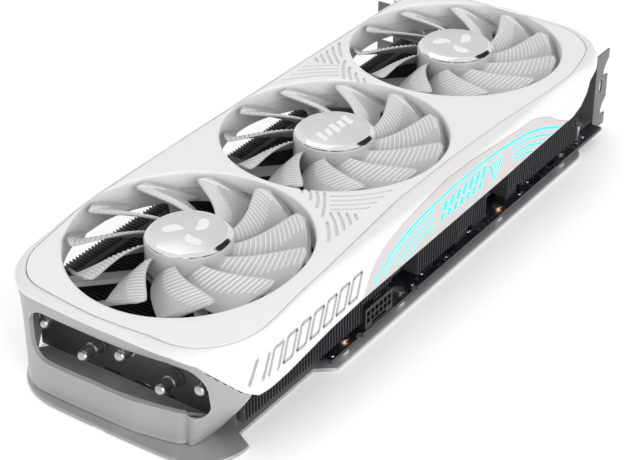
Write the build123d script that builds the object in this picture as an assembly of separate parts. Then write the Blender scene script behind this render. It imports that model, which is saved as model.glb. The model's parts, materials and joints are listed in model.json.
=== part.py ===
from build123d import *
import math
import os

# Triple-fan graphics card, lying on its backplate with the fans facing up.
# Millimetres. +X runs from the closed tail to the input-output bracket, +Y towards
# the edge connector, +Z up through the fans. The origin is the centre of the
# overall box's underside.

# ---------------------------------------------------------------- driving sizes
# Fans
FAN_COUNT = 3
FAN_PITCH = 97.0
OPENING_R = 47.3
BLADE_COUNT = 11
BLADE_TIP_R = 45.4
BLADE_T = 1.1
TIP_ANGLE = 1.6
HUB_R = 17.0
HUB_WALL = 1.4
HUB_H = 14.5
CAP_R = 16.6
CAP_H = 2.0
CAP_CHAMFER = 1.4
SHAFT_R = 1.5
BEARING_CLEARANCE = 0.04
BEARING_WALL = 1.0
HOUSING_WALL = 0.8
MAGNET_T = 1.8
RUNNING_GAP = 0.6
FRAME_T = 2.0
ARM_W = 5.0
FRAME_POST_R = 54.0
FRAME_POST_SIZE = 3.2

# Shroud
TAIL_REACH = 60.0
HEAD_REACH = 51.0
LED_REACH = 57.5
FAR_REACH = 49.5
BAND_T = 3.2
BAND_FAR_T = 1.0
SEAM_GAP = 0.15
FACE_T = 2.2
DUCT_T = 1.1
DUCT_DEPTH = HUB_H - 0.5
TAIL_DROP = 6.5
BAND_SHALLOW = 11.0
CORNER_R = 31.0
FAR_CORNER_R = 22.0
TAIL_BOW = 6.0
HEAD_BOW = 1.5
CAP_SHELL_T = 2.2
CAP_INSET = 3.4
CAP_DEPTH = 24.0
CAP_GAP = 0.4
MOUTH_W = 86.0
MOUTH_H = 24.0
MOUTH_CORNER = 7.0
SCOOP_T = 1.5
PANEL_T = 1.4
LAMP_COUNT = 10
LAMP_PITCH = 12.2

# Board stack
BACKPLATE_T = 1.5
BACKPLATE_GAP = 3.9
BOARD_T = 1.6
BOARD_LENGTH = 226.0
BOARD_LED_INSET = 6.2
TAB_DEPTH = 8.3
TAB_LENGTH = 85.4
TAB_KEY_W = 1.9
TAB_KEY_FROM_END = 12.3
BRACKET_CLEAR = 0.9
CONTACT_T = 0.08
CONTACT_W = 0.7
PACKAGE_HALF = 20.0
PACKAGE_T = 1.8
DIE_T = 0.8
CHIP_W = 12.0
CHIP_GAP = 2.0
CHIP_T = 1.1
STAGE_PITCH = 10.5
STAGE_COUNT = 7
STAGE_T = 0.9
CAPACITOR_T = 1.9

# Power socket: twelve supply cells over a slot of four small ones
SOCKET_W = 19.4
SOCKET_H = 9.6
SOCKET_D = 13.5
CELL = 2.3
CELL_PITCH = 3.0
HEADER_L = 10.2
HEADER_W = 4.6
HEADER_H = 5.4

# Video sockets: three of one kind and one of the other, through the bracket
VIDEO_PITCH = 19.5
VIDEO_W = 16.2
VIDEO_H = 5.6
VIDEO_D = 17.0
VIDEO_WALL = 0.5
VIDEO_POKE = 0.6

# Cooler
PLATE_T = 4.0
PLATE_HALF = 24.5
PLATE_ROOM = 0.6
COOLER_FRAME_T = 1.6
PIPE_R = 3.0
PIPE_END_R = 2.5
PIPE_PITCH = 18.2
PIPE_COUNT = 5
PIPE_ROW_STEP = 7.6
PIPE_RISE = 4.2
FIN_T = 0.4
FIN_PITCH = 1.86
FIN_TOP_GAP = 2.0
FIN_BOARD_GAP = 4.0
FIN_ABOVE_PIPE = 5.1
BULKHEAD_T = 1.0
SPRING_R = 2.6
SPRING_WIRE = 0.35
SPRING_TURNS = 4
SPRING_L = 11.0

# Input-output bracket
BRACKET_T = 0.9
BRACKET_H = 38.9
BRACKET_REACH = 120.0
FLANGE_INSET = 11.5
FLANGE_LENGTH = 11.4
SLOT_PITCH = 20.32
BRACKET_BELOW_BOARD = 3.2
NOTCH_FIRST = 7.8
NOTCH_W = 4.4
NOTCH_DEPTH = 4.6
NOTCH_SLOPE = 4.0
FOOT_FIRST = 10.9
FOOT_W = 10.2
FOOT_DEPTH = 9.0

# Fasteners
SCREW_R = 1.3
SCREW_HEAD_R = 2.4
SCREW_HEAD_H = 1.3

# ---------------------------------------------------------------- derived places
LENGTH = TAIL_REACH + (FAN_COUNT - 1) * FAN_PITCH + HEAD_REACH + BRACKET_T + FLANGE_LENGTH + 1.1
TAIL_X = -LENGTH / 2
FAN_XS = [TAIL_X + TAIL_REACH + i * FAN_PITCH for i in range(FAN_COUNT)]
HEAD_X = FAN_XS[-1] + HEAD_REACH
BRACKET_X = LENGTH / 2 - FLANGE_LENGTH

FLANGE_REACH = LED_REACH - FLANGE_INSET
WIDTH = LED_REACH + BRACKET_REACH - FLANGE_REACH
LED_Y = -WIDTH / 2
FAN_Y = LED_Y + LED_REACH
FAR_Y = FAN_Y + FAR_REACH
FLANGE_Y = LED_Y + FLANGE_INSET
FOOT_Y = WIDTH / 2

BOARD_Z = BACKPLATE_T + BACKPLATE_GAP
BOARD_TOP = BOARD_Z + BOARD_T
PACKAGE_TOP = BOARD_TOP + PACKAGE_T
DIE_TOP = PACKAGE_TOP + DIE_T
PLATE_TOP = DIE_TOP + PLATE_T
PIPE_BASE_Z = PLATE_TOP + PIPE_R
PIPE_LOW_Z = PIPE_BASE_Z + PIPE_RISE
PIPE_HIGH_Z = PIPE_LOW_Z + PIPE_ROW_STEP
FIN_TOP = PIPE_HIGH_Z + PIPE_R + FIN_ABOVE_PIPE
FRAME_Z = FIN_TOP + FIN_TOP_GAP
HUB_Z = FRAME_Z + FRAME_T + FRAME_T
HUB_TOP = HUB_Z + HUB_H - CAP_H
HEIGHT = HUB_TOP + CAP_H
FACE_TOP = HEIGHT - CAP_H
DUCT_Z = FACE_TOP - DUCT_DEPTH
BLADE_TOP = FACE_TOP - 0.3
BLADE_LOW = HUB_Z + RUNNING_GAP

BOARD_HEAD_X = BRACKET_X - BRACKET_T - BRACKET_CLEAR
BOARD_TAIL_X = BOARD_HEAD_X - BOARD_LENGTH
BOARD_LED_Y = LED_Y + BOARD_LED_INSET
TAB_FAR_Y = FLANGE_Y + 106.3
BOARD_FAR_Y = TAB_FAR_Y - TAB_DEPTH
CORE_X = FAN_XS[1] + 14.0
CORE_Y = FAN_Y - 3.0

FIN_BASE_Z = BOARD_TOP + FIN_BOARD_GAP
FIN_LED_Y = FAN_Y - 50.0
FIN_FAR_Y = FAN_Y + 45.0
PIPE_TAIL_X = TAIL_X + 12.0
BULKHEAD_X = TAIL_X + CAP_DEPTH - 0.4
TAIL_FINS_X0 = BULKHEAD_X + BULKHEAD_T + 0.9
TAIL_FINS_X1 = BOARD_TAIL_X + 45.0
MIDDLE_FINS_X0 = BOARD_TAIL_X + 64.0
MIDDLE_FINS_X1 = CORE_X + 28.0
HEAD_FINS_X0 = CORE_X + 46.0
HEAD_FINS_X1 = BOARD_HEAD_X - 24.0
PLATE_REACH = (PIPE_COUNT - 1) / 2 * PIPE_PITCH + PIPE_R
CHIP_L = (3 * PIPE_PITCH - 2 * SPRING_R - 3.2) / 3.3
CHIP_PITCH = CHIP_L + CHIP_GAP

BEARING_OUT_R = SHAFT_R + BEARING_CLEARANCE + BEARING_WALL
HOUSING_R = BEARING_OUT_R + 0.02 + HOUSING_WALL
HUB_IN_R = HUB_R - HUB_WALL
MAGNET_OUT_R = HUB_IN_R - 0.02
MAGNET_IN_R = MAGNET_OUT_R - MAGNET_T
STATOR_R = MAGNET_IN_R - RUNNING_GAP
HUB_ROOF_Z = HUB_TOP - HUB_WALL
HOUSING_TOP = HUB_ROOF_Z - 2.4
EVERYWHERE = 200.0


# ---------------------------------------------------------------- helpers
def block(x0, x1, y0, y1, z0, z1):
    """A box given by its two corners."""
    return Pos((x0 + x1) / 2, (y0 + y1) / 2, (z0 + z1) / 2) * Box(x1 - x0, y1 - y0, z1 - z0)


def pad_block(x, y, width, depth, z0, z1):
    """A box centred on a place, as flat parts sit on a board."""
    return block(x - width / 2, x + width / 2, y - depth / 2, y + depth / 2, z0, z1)


def rod(x, y, z0, z1, radius):
    """An upright cylinder from z0 to z1."""
    return Pos(x, y, (z0 + z1) / 2) * Cylinder(radius, z1 - z0)


def rod_x(x0, x1, y, z, radius):
    """A cylinder lying along X."""
    return Pos((x0 + x1) / 2, y, z) * Rot(0, 90, 0) * Cylinder(radius, x1 - x0)


def tube(x, y, z0, z1, outer, inner):
    """An upright tube."""
    return rod(x, y, z0, z1, outer) - rod(x, y, z0 - 1, z1 + 1, inner)


def plan_face(tail, head, low, high, led_r, far_r):
    """A card-shaped outline with bowed ends, long side at low y, rounded corners."""
    middle = (low + high) / 2
    a = (tail + TAIL_BOW, low)
    b = (head - HEAD_BOW, low)
    c = (head - HEAD_BOW, high)
    d = (tail + TAIL_BOW, high)
    outline = Line(a, b) + ThreePointArc(b, (head, middle), c)
    outline += Line(c, d) + ThreePointArc(d, (tail, middle), a)
    face = make_face(outline)
    near = [v for v in face.vertices() if v.Y < middle]
    face = fillet(near, led_r)
    far = [v for v in face.vertices() if v.Y > high - 0.01]
    return fillet(far, far_r)


def prism(face, z0, z1):
    """The outline carried from z0 to z1."""
    return Pos(0, 0, z0) * extrude(face, z1 - z0)


def under_top(depth, thick):
    """A slab whose top follows the shroud's top, depth below it and thick tall."""
    top = FACE_TOP - depth
    bend = FAN_XS[0]
    x0, x1 = TAIL_X - 5, HEAD_X + 5
    drop = TAIL_DROP * (bend - x0) / (bend - TAIL_X)
    points = [(x0, top - drop), (bend, top), (x1, top)]
    points += [(x1, top - thick), (bend, top - thick), (x0, top - drop - thick)]
    profile = make_face(Polyline(*points, close=True))
    return extrude(Plane.XZ * profile, 2 * WIDTH, both=True)


def side_on(profile, half_width=EVERYWHERE):
    """A profile drawn in XZ, carried both ways along Y."""
    return extrude(Plane.XZ * profile, half_width, both=True)


def top_z(x):
    """Height of the shroud's top at x."""
    bend = FAN_XS[0]
    return FACE_TOP - TAIL_DROP * max(0.0, bend - x) / (bend - TAIL_X)


def save(name, shape):
    """Writes one node."""
    solids = shape.solids()
    if len(solids) > 1:
        shape = Compound(children=list(solids))
    elif len(solids) == 1:
        shape = solids[0]
    export_step(shape, f"parts/{name}.step")
    print(name, len(solids), round(sum(s.volume for s in solids)))


# ---------------------------------------------------------------- shroud
def outer_plan(inset_x=0.0, inset_led=0.0, inset_far=0.0):
    """The shroud outline, pulled in by the given amounts."""
    return plan_face(
        TAIL_X + inset_x,
        HEAD_X - inset_x,
        LED_Y + inset_led,
        FAR_Y - inset_far,
        CORNER_R - inset_led,
        FAR_CORNER_R - inset_far,
    )


def led_skirt_edge():
    """The wavy lower edge of the band's deep side, as the region to keep (XZ)."""
    low = FACE_TOP - BAND_SHALLOW
    deep = FACE_TOP - 24.5
    tail_dip = deep - 4.5
    points = [
        (TAIL_X + 10, low - 4.0),
        (TAIL_X + 27, tail_dip),
        (TAIL_X + 46, tail_dip + 1.2),
        (FAN_XS[0] + 8, deep - 0.6),
        (FAN_XS[1], deep + 0.6),
        (FAN_XS[2] - 5, deep + 2.5),
        (FAN_XS[2] + 14, deep + 4.6),
        (FAN_XS[2] + 30, low + 1.0),
    ]
    edge = Spline(*points)
    x0, x1 = TAIL_X - 5, HEAD_X + 5
    start = Polyline((x0, FACE_TOP + 5), (x0, low), points[0])
    end = Polyline(points[-1], (x1, low), (x1, FACE_TOP + 5), (x0, FACE_TOP + 5))
    return make_face(start + edge + end)


def duct_cylinders(radius, z0, z1):
    """One upright cylinder per fan."""
    return [rod(x, FAN_Y, z0, z1, radius) for x in FAN_XS]


def fan_post_places():
    """The four fixing places of each fan frame."""
    reach = FRAME_POST_R / math.sqrt(2)
    return [(x + sx * reach, FAN_Y + sy * reach) for x in FAN_XS for sx in (-1, 1) for sy in (-1, 1)]


def shroud_face():
    """The face plate with its three fan ducts and the posts for the fan frames."""
    inset = BAND_T + SEAM_GAP
    plan = outer_plan(inset, inset, BAND_FAR_T + SEAM_GAP)
    plate = prism(plan, DUCT_Z - 5, FACE_TOP + 5) & under_top(0, FACE_T)
    below = prism(plan, DUCT_Z - 5, FACE_TOP + 5) & under_top(FACE_T / 2, 60)
    sleeves = []
    for duct in duct_cylinders(OPENING_R + DUCT_T, DUCT_Z, FACE_TOP + 1):
        sleeves.append(duct & below)
    posts = []
    for x, y in fan_post_places():
        posts.append(rod(x, y, FRAME_Z + FRAME_T, top_z(x) - FACE_T / 2, FRAME_POST_SIZE))
    body = plate.fuse(*sleeves, *posts)
    for hole in duct_cylinders(OPENING_R, DUCT_Z - 2, FACE_TOP + 3):
        body -= hole
    for x, y in fan_post_places():
        body -= rod(x, y, FRAME_Z, FRAME_Z + FRAME_T + 7.0, SCREW_R)
    return body


def ledge_places():
    """Places of the tabs that hold the face plate to the band."""
    y = LED_Y + BAND_T + 2.2
    mids = [(FAN_XS[i] + FAN_XS[i + 1]) / 2 for i in range(FAN_COUNT - 1)]
    return [(x, y) for x in mids]


def shroud_band():
    """The outer band: deep on the long lit side, shallow everywhere else."""
    low = FACE_TOP - BAND_SHALLOW
    inset = BAND_T
    outer = prism(outer_plan(), HEIGHT - 45, FACE_TOP + 5)
    inner = prism(outer_plan(inset, inset, BAND_FAR_T), HEIGHT - 50, FACE_TOP + 10)
    shell = (outer & under_top(0, 60)) - inner
    keep_high = block(TAIL_X - 9, HEAD_X + 9, LED_Y - 9, FAR_Y + 9, low - TAIL_DROP, FACE_TOP + 9)
    deep = side_on(led_skirt_edge())
    deep &= block(TAIL_X - 9, HEAD_X + 9, LED_Y - 9, FAN_Y - 22, 0, FACE_TOP + 9)
    rest = side_on(led_skirt_edge()) & keep_high
    shell = shell & (deep + rest)
    tabs = []
    for x, y in ledge_places():
        tab = block(x - 6, x + 6, LED_Y + 0.8, y + 2.6, FACE_TOP - FACE_T - 2.0, FACE_TOP - FACE_T)
        tabs.append(tab - rod(x, y, 0, HEIGHT, SCREW_R + 0.2))
    shell = shell.fuse(*tabs)
    return shell - light_panel()


def light_panel_outline():
    """The lit panel's outline on the long side: flat below, arched above (XZ)."""
    x0 = FAN_XS[1] - 66.0
    x1 = FAN_XS[2] + 1.5
    base = FACE_TOP - 23.4
    points = [
        (x0, base),
        (x0 + 13, base + 14.5),
        (x0 + 40, base + 19.4),
        (x0 + 70, base + 21.0),
        (x0 + 102, base + 20.6),
        (x1 - 20, base + 14.5),
        (x1, base),
    ]
    edge = Spline(*points)
    return make_face(edge + Line(points[-1], points[0]))


def light_panel():
    """The lit panel: a thin slice of the band's outer wall."""
    slab = side_on(light_panel_outline())
    outer = prism(outer_plan(), HEIGHT - 45, FACE_TOP + 5)
    inner = prism(outer_plan(PANEL_T, PANEL_T, PANEL_T), HEIGHT - 50, FACE_TOP + 10)
    near = block(TAIL_X - 9, HEAD_X + 9, LED_Y - 9, FAN_Y - 22, 0, FACE_TOP + 9)
    return ((outer - inner) & slab) & near


def light_board():
    """The strip of lamps behind the panel."""
    y0 = LED_Y + BAND_T + 0.1
    base = FACE_TOP - 17.5
    strip = block(FAN_XS[1] - 50, FAN_XS[2] - 16, y0, y0 + 0.8, base, base + 8)
    lamps = []
    for i in range(LAMP_COUNT):
        x = FAN_XS[1] - 45 + i * LAMP_PITCH
        lamps.append(block(x, x + 3.5, y0 + 0.8, y0 + 1.6, base + 2.5, base + 5.5))
    return strip.fuse(*lamps)


def tail_cap():
    """The grey cap at the tail: a wrap-round wall with an open mouth and a sloping floor."""
    z0 = BACKPLATE_T + CAP_GAP
    z1 = FACE_TOP
    skin, inset, far = CAP_SHELL_T, CAP_INSET, BAND_FAR_T + 0.5
    outer = prism(outer_plan(inset, inset, far), z0, z1)
    inner = prism(outer_plan(inset + skin, inset + skin, far + skin), z0 - 2, z1 + 2)
    wall = (outer - inner) & block(TAIL_X - 9, TAIL_X + CAP_DEPTH, LED_Y - 9, FAR_Y + 9, z0, z1)
    wall &= under_top(FACE_T + CAP_GAP, 80)
    wall -= side_on(cap_free_edge(z0))
    within = prism(outer_plan(inset + 0.2, inset + 0.2, far + 1.3), 0, HEIGHT)
    lip = block(TAIL_X, TAIL_X + 14, FAN_Y - 49, FAN_Y + 40, z0, z0 + 1.8)
    floor = side_on(scoop_floor()) & block(TAIL_X, TAIL_X + CAP_DEPTH, FAN_Y - 46, FAN_Y + 43, 0, HEIGHT)
    wall = wall.fuse(lip & within, floor & within)
    mouth = Plane.YZ * Pos(FAN_Y - 4.5, z0 + 25.0) * RectangleRounded(MOUTH_W, MOUTH_H, MOUTH_CORNER)
    return wall - Pos(TAIL_X - 2, 0, 0) * extrude(mouth, CAP_DEPTH)


def cap_free_edge(z0):
    """What the cap's two free side edges leave out, so that they slope forwards (XZ)."""
    x1, top = TAIL_X + CAP_DEPTH, z0 + 26
    points = [(TAIL_X + 15, z0 - 1), (x1, top), (x1 + 9, top), (x1 + 9, z0 - 1)]
    return make_face(Polyline(*points, close=True))


def scoop_floor():
    """Section of the floor that rises from the bulkhead to the mouth's lower lip (XZ)."""
    x0, x1 = TAIL_X + 4, BULKHEAD_X - 0.2
    high, low = BACKPLATE_T + 13.1, FIN_BASE_Z - 1.3
    points = [(x0, high), (x1, low), (x1, low - SCOOP_T), (x0, high - SCOOP_T)]
    return make_face(Polyline(*points, close=True))


# ---------------------------------------------------------------- board stack
def backplate():
    """The metal plate under the board, with the ear at the tail and vent slots."""
    tail = TAIL_X + 2.6
    head = BOARD_HEAD_X - 12
    low = BOARD_LED_Y - 0.4
    plan = plan_face(tail, head, low, BOARD_FAR_Y + 0.3, 12.0, 10.0)
    plate = prism(plan, 0, BACKPLATE_T)
    notch = make_face(
        Polyline(
            (TAIL_X + 25, LED_Y), (TAIL_X + 29.5, low + 7.5), (BOARD_TAIL_X - 2, low + 7.5),
            (BOARD_TAIL_X + 4, low), (BOARD_TAIL_X + 4, LED_Y), close=True,
        )
    )
    plate -= prism(notch, -1, BACKPLATE_T + 1)
    for i in range(7):
        x = TAIL_X + 34 + i * 6.0
        slot = Pos(x, FAN_Y, 0) * Rot(0, 0, -20) * SlotOverall(52, 3.0, rotation=90)
        plate -= prism(slot, -1, BACKPLATE_T + 1)
    for x, y in board_screw_places():
        plate -= rod(x, y, -1, BACKPLATE_T + 1, SCREW_R + 0.2)
        plate += tube(x, y, BACKPLATE_T, BOARD_Z, 2.6, SCREW_R + 0.2)
    return plate


def board_screw_places():
    """Screws that hold the backplate and board together."""
    near = BOARD_LED_Y + 4.4
    far = BOARD_FAR_Y - 6.0
    xs = [BOARD_TAIL_X + 14.0, BOARD_TAIL_X + 54.5, BOARD_HEAD_X - 91.5, BOARD_HEAD_X - 34]
    return [(x, near) for x in xs] + [(x, far) for x in (xs[0], xs[1], xs[3] - 40, xs[3])]


def cooler_screw_places():
    """The four sprung screws round the processor."""
    reach_x, reach_y = 29.0, 1.5 * PIPE_PITCH
    return [(CORE_X + sx * reach_x, CORE_Y + sy * reach_y) for sx in (-1, 1) for sy in (-1, 1)]


def circuit_board():
    """The board with its edge-connector tab, key slot and screw holes."""
    tab_x1 = BOARD_HEAD_X - 46.0
    tab_x0 = tab_x1 - TAB_LENGTH
    board = block(BOARD_TAIL_X, BOARD_HEAD_X, BOARD_LED_Y, BOARD_FAR_Y, BOARD_Z, BOARD_TOP)
    corner = block(BOARD_TAIL_X - 1, BOARD_TAIL_X + 10, BOARD_FAR_Y - 20, BOARD_FAR_Y + 1, 0, 20)
    board -= corner
    board += block(tab_x0, tab_x1, BOARD_FAR_Y - 1, TAB_FAR_Y, BOARD_Z, BOARD_TOP)
    key = tab_x1 - TAB_KEY_FROM_END
    board -= block(key - TAB_KEY_W, key, TAB_FAR_Y - 6.5, TAB_FAR_Y + 1, 0, 20)
    hook = tab_x0 - 4.0
    board += block(hook - 3.0, hook, BOARD_FAR_Y - 1, BOARD_FAR_Y + 5, BOARD_Z, BOARD_TOP)
    for x, y in board_screw_places() + cooler_screw_places():
        board -= rod(x, y, 0, 20, SCREW_R + 0.2)
    for x in (BOARD_TAIL_X + 20.0, BOARD_TAIL_X + 60.5):
        board -= rod(x, BOARD_LED_Y, 0, 20, 1.6)
    return board


def contact_fingers():
    """Plated contacts on both faces of the connector tab."""
    tab_x1 = BOARD_HEAD_X - 46.0
    key = tab_x1 - TAB_KEY_FROM_END
    pads = []
    starts = [tab_x1 - 0.9 - i for i in range(11)] + [key - TAB_KEY_W - 0.5 - i for i in range(71)]
    for z0, z1 in ((BOARD_TOP, BOARD_TOP + CONTACT_T), (BOARD_Z - CONTACT_T, BOARD_Z)):
        for x in starts:
            pads.append(block(x - CONTACT_W, x, TAB_FAR_Y - 5.2, TAB_FAR_Y - 0.8, z0, z1))
    return Compound(children=pads)


def processor_package():
    return pad_block(CORE_X, CORE_Y, 2 * PACKAGE_HALF, 2 * PACKAGE_HALF, BOARD_TOP, PACKAGE_TOP)


def processor_die():
    return pad_block(CORE_X, CORE_Y, 22, 18, PACKAGE_TOP, DIE_TOP)


def memory_places():
    """Memory chips round three sides of the package."""
    reach = PACKAGE_HALF + CHIP_W
    places = [(CORE_X + side * reach, CORE_Y + i * CHIP_PITCH) for side in (-1, 1) for i in (-1, 0, 1)]
    places += [(CORE_X + side * (CHIP_W + CHIP_GAP + 2) / 2, CORE_Y + reach) for side in (-1, 1)]
    return places


def memory_chips():
    top = BOARD_TOP + CHIP_T
    return Compound(children=[pad_block(x, y, CHIP_W, CHIP_L, BOARD_TOP, top) for x, y in memory_places()])


def frame_bottom():
    """Underside of the cooler frame, which the thermal pads fill up to."""
    return BOARD_TOP + 2.2


def thermal_pads():
    top = frame_bottom()
    pads = [pad_block(x, y, CHIP_W, CHIP_L - 1, BOARD_TOP + CHIP_T, top) for x, y in memory_places()]
    pads += [pad_block(x, y, 4.8, 4.8, BOARD_TOP + STAGE_T, top) for x, y in stage_places()]
    return Compound(children=pads)


def choke_places():
    """Power inductors in a line tailwards of the processor."""
    return [(CORE_X - 54.0, CORE_Y - 30 + i * STAGE_PITCH) for i in range(STAGE_COUNT)]


def stage_places():
    """Power stages beside the inductors."""
    return [(CORE_X - 45.0, CORE_Y - 30 + i * STAGE_PITCH) for i in range(STAGE_COUNT)]


def power_chokes():
    top = BOARD_TOP + 3.4
    return Compound(children=[pad_block(x, y, 9, 8.4, BOARD_TOP, top) for x, y in choke_places()])


def power_stages():
    top = BOARD_TOP + STAGE_T
    return Compound(children=[pad_block(x, y, 5.2, 6, BOARD_TOP, top) for x, y in stage_places()])


def board_capacitors():
    """Flat polymer capacitors tailwards of the inductors, and a row near the sockets."""
    shapes = []
    for i in range(6):
        y = CORE_Y - 24 + i * 11.0
        shapes.append(pad_block(CORE_X - 63.85, y, 4.3, 7.2, BOARD_TOP, BOARD_TOP + CAPACITOR_T))
    for i in range(4):
        y = FAN_Y - 23.85 + i * 9.0
        shapes.append(pad_block(BOARD_HEAD_X - 41.4, y, 7.2, 4.3, BOARD_TOP, BOARD_TOP + CAPACITOR_T))
    return Compound(children=shapes)


def socket_x():
    """Middle of the power socket along the card."""
    return BOARD_TAIL_X + 33.5


def power_socket():
    x = socket_x()
    y0 = BOARD_LED_Y + 0.3
    z0 = BOARD_TOP
    body = block(x - SOCKET_W / 2, x + SOCKET_W / 2, y0, y0 + SOCKET_D, z0, z0 + SOCKET_H)
    body += block(x - 2.6, x + 2.6, y0 + 1.0, y0 + 5.5, z0 + SOCKET_H, z0 + SOCKET_H + 1.2)
    for row in range(2):
        for col in range(6):
            cx = x + (col - 2.5) * CELL_PITCH
            cz = z0 + 3.9 + row * CELL_PITCH
            body -= block(cx - CELL / 2, cx + CELL / 2, y0 - 1, y0 + 9, cz - CELL / 2, cz + CELL / 2)
    body -= block(x - 5.2, x + 5.2, y0 - 1, y0 + 6, z0 + 0.8, z0 + 2.1)
    return body


def power_pins():
    x = socket_x()
    y0 = BOARD_LED_Y + 0.3
    pins = []
    for row in range(2):
        for col in range(6):
            cx = x + (col - 2.5) * CELL_PITCH
            cz = BOARD_TOP + 3.9 + row * CELL_PITCH
            pins.append(block(cx - 0.5, cx + 0.5, y0 + 2.5, y0 + 9, cz - 0.5, cz + 0.5))
    return Compound(children=pins)


def header_xs():
    """Places of the two small headers along the long side."""
    return [BOARD_HEAD_X - 124.0, BOARD_HEAD_X - 81.3]


def small_headers():
    """Two small open-topped headers for the fan and light leads."""
    shapes = []
    for x in header_xs():
        y = BOARD_LED_Y + 5.7
        body = pad_block(x, y, HEADER_L, HEADER_W, BOARD_TOP, BOARD_TOP + HEADER_H)
        body -= pad_block(x, y, HEADER_L - 1.8, HEADER_W - 1.8, BOARD_TOP + 1.4, BOARD_TOP + HEADER_H + 1)
        shapes.append(body)
    return Compound(children=shapes)


def video_places():
    """Centres of the video sockets along Y."""
    first = FAN_Y - 28.0
    return [first + i * VIDEO_PITCH for i in range(4)]


def video_section(width, height):
    """A socket's section: a rectangle with its two lower corners cut off (YZ)."""
    w, h = width / 2, height
    cut = 1.6
    points = [(-w + cut, 0), (w - cut, 0), (w, cut), (w, h), (-w, h), (-w, cut)]
    return make_face(Polyline(*points, close=True))


def video_sockets():
    shells = []
    x1 = BRACKET_X + VIDEO_POKE
    z0 = BOARD_TOP + 0.3
    for y in video_places():
        outside = Pos(x1 - VIDEO_D, y, z0) * extrude(Plane.YZ * video_section(VIDEO_W, VIDEO_H), VIDEO_D)
        hollow = video_section(VIDEO_W - 2 * VIDEO_WALL, VIDEO_H - 2 * VIDEO_WALL)
        inside = Pos(x1 - VIDEO_D + 5, y, z0 + VIDEO_WALL) * extrude(Plane.YZ * hollow, VIDEO_D)
        shell = outside - inside
        legs = block(x1 - 14, x1 - 12, y - 6, y + 6, BOARD_TOP, z0 + 0.2)
        shells.append(shell.fuse(legs))
    return Compound(children=shells)


def video_tongues():
    tongues = []
    x1 = BRACKET_X + VIDEO_POKE
    z0 = BOARD_TOP + 0.3
    for y in video_places():
        zc = z0 + VIDEO_H / 2 + 0.2
        tongues.append(block(x1 - VIDEO_D + 5, x1 - 1.6, y - 6.0, y + 6.0, zc - 0.6, zc + 0.6))
    return Compound(children=tongues)


# ---------------------------------------------------------------- bracket
def io_bracket():
    """The bent metal bracket: upright plate, screw flange and two lower feet."""
    z0 = BOARD_Z - BRACKET_BELOW_BOARD
    z1 = z0 + BRACKET_H
    x0 = BRACKET_X - BRACKET_T
    plate = block(x0, BRACKET_X, FLANGE_Y, FOOT_Y - FOOT_DEPTH, z0, z1)
    for k in range(2):
        zc = z0 + FOOT_FIRST + k * SLOT_PITCH
        low, high = zc - FOOT_W / 2, zc + FOOT_W / 2
        plate += block(x0, BRACKET_X, FOOT_Y - FOOT_DEPTH - 0.5, FOOT_Y, low, high)
    for y in video_places():
        half = VIDEO_W / 2 + 0.3
        plate -= block(x0 - 1, BRACKET_X + 1, y - half, y + half, BOARD_TOP, BOARD_TOP + VIDEO_H + 0.6)
    for i in range(14):
        y = FAN_Y - 32 + i * 5.4
        vent = Plane.YZ * Pos(y, z0 + 27.0) * SlotOverall(15, 3.0, rotation=90)
        plate -= Pos(x0 - 1, 0, 0) * extrude(vent, 4)
    flange = block(x0, BRACKET_X + FLANGE_LENGTH, FLANGE_Y, FLANGE_Y + BRACKET_T, z0, z1)
    edge = BRACKET_X + FLANGE_LENGTH
    for zc in notch_zs():
        notch = Plane.XZ * Pos(edge, zc) * RectangleRounded(2 * NOTCH_DEPTH, NOTCH_W, 1.2)
        flange -= Pos(0, FLANGE_Y + 2, 0) * extrude(notch, 6, both=True)
        wedge = [(edge - NOTCH_DEPTH, zc + NOTCH_W / 2), (edge + 1, zc + NOTCH_W / 2)]
        wedge += [(edge + 1, zc + NOTCH_W / 2 + NOTCH_SLOPE + 1.2)]
        side = Plane.XZ * make_face(Polyline(*wedge, close=True))
        flange -= Pos(0, FLANGE_Y + 2, 0) * extrude(side, 6, both=True)
    oval = Plane.XZ * Pos(BRACKET_X + 4.8, z0 + 21.8) * SlotOverall(6.5, 2.6, rotation=90)
    flange -= Pos(0, FLANGE_Y + 2, 0) * extrude(oval, 6, both=True)
    tab_z = BOARD_TOP + 0.05
    bracket = plate.fuse(flange)
    for y in bracket_tab_places():
        tab = block(x0 - 9.5, x0 + 0.2, y - 4, y + 4, tab_z, tab_z + 1.0)
        bracket = bracket.fuse(tab)
        bracket -= rod(x0 - 6.0, y, 0, HEIGHT, SCREW_R + 0.2)
    return bracket


def notch_zs():
    """Heights of the flange's open screw notches, one slot pitch apart."""
    z0 = BOARD_Z - BRACKET_BELOW_BOARD
    return [z0 + NOTCH_FIRST + k * SLOT_PITCH for k in range(2)]


def bracket_tab_places():
    """Y of the two tabs that screw the bracket to the board."""
    return [FLANGE_Y + 5.2, BOARD_FAR_Y - 9.0]


def bracket_screws():
    """Pan-head screws through the bracket's tabs into the board."""
    shapes = []
    for y in bracket_tab_places():
        x = BRACKET_X - BRACKET_T - 6.0
        z = BOARD_TOP + 1.05
        head = rod(x, y, z, z + 1.4, 3.1) - block(x - 0.4, x + 0.4, y - 1.6, y + 1.6, z + 0.7, z + 2)
        shapes.append(head.fuse(rod(x, y, BOARD_TOP + 0.02, z, SCREW_R)))
    return Compound(children=shapes)


def bracket_post():
    """A plain locating post on the board beside the bracket."""
    return rod(BOARD_HEAD_X - 13.4, BOARD_LED_Y + 6.0, BOARD_TOP, BOARD_TOP + 5.0, 1.35)


# ---------------------------------------------------------------- cooler
def pipe_ys():
    """Y of each heat pipe."""
    middle = (PIPE_COUNT - 1) / 2
    return [FAN_Y - 3.0 + (middle - i) * PIPE_PITCH for i in range(PIPE_COUNT)]


def pipe_zs():
    """Height of each pipe in the tail fins: outer and middle pipes high, others low."""
    return [PIPE_HIGH_Z if i % 2 == 0 else PIPE_LOW_Z for i in range(PIPE_COUNT)]


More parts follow.
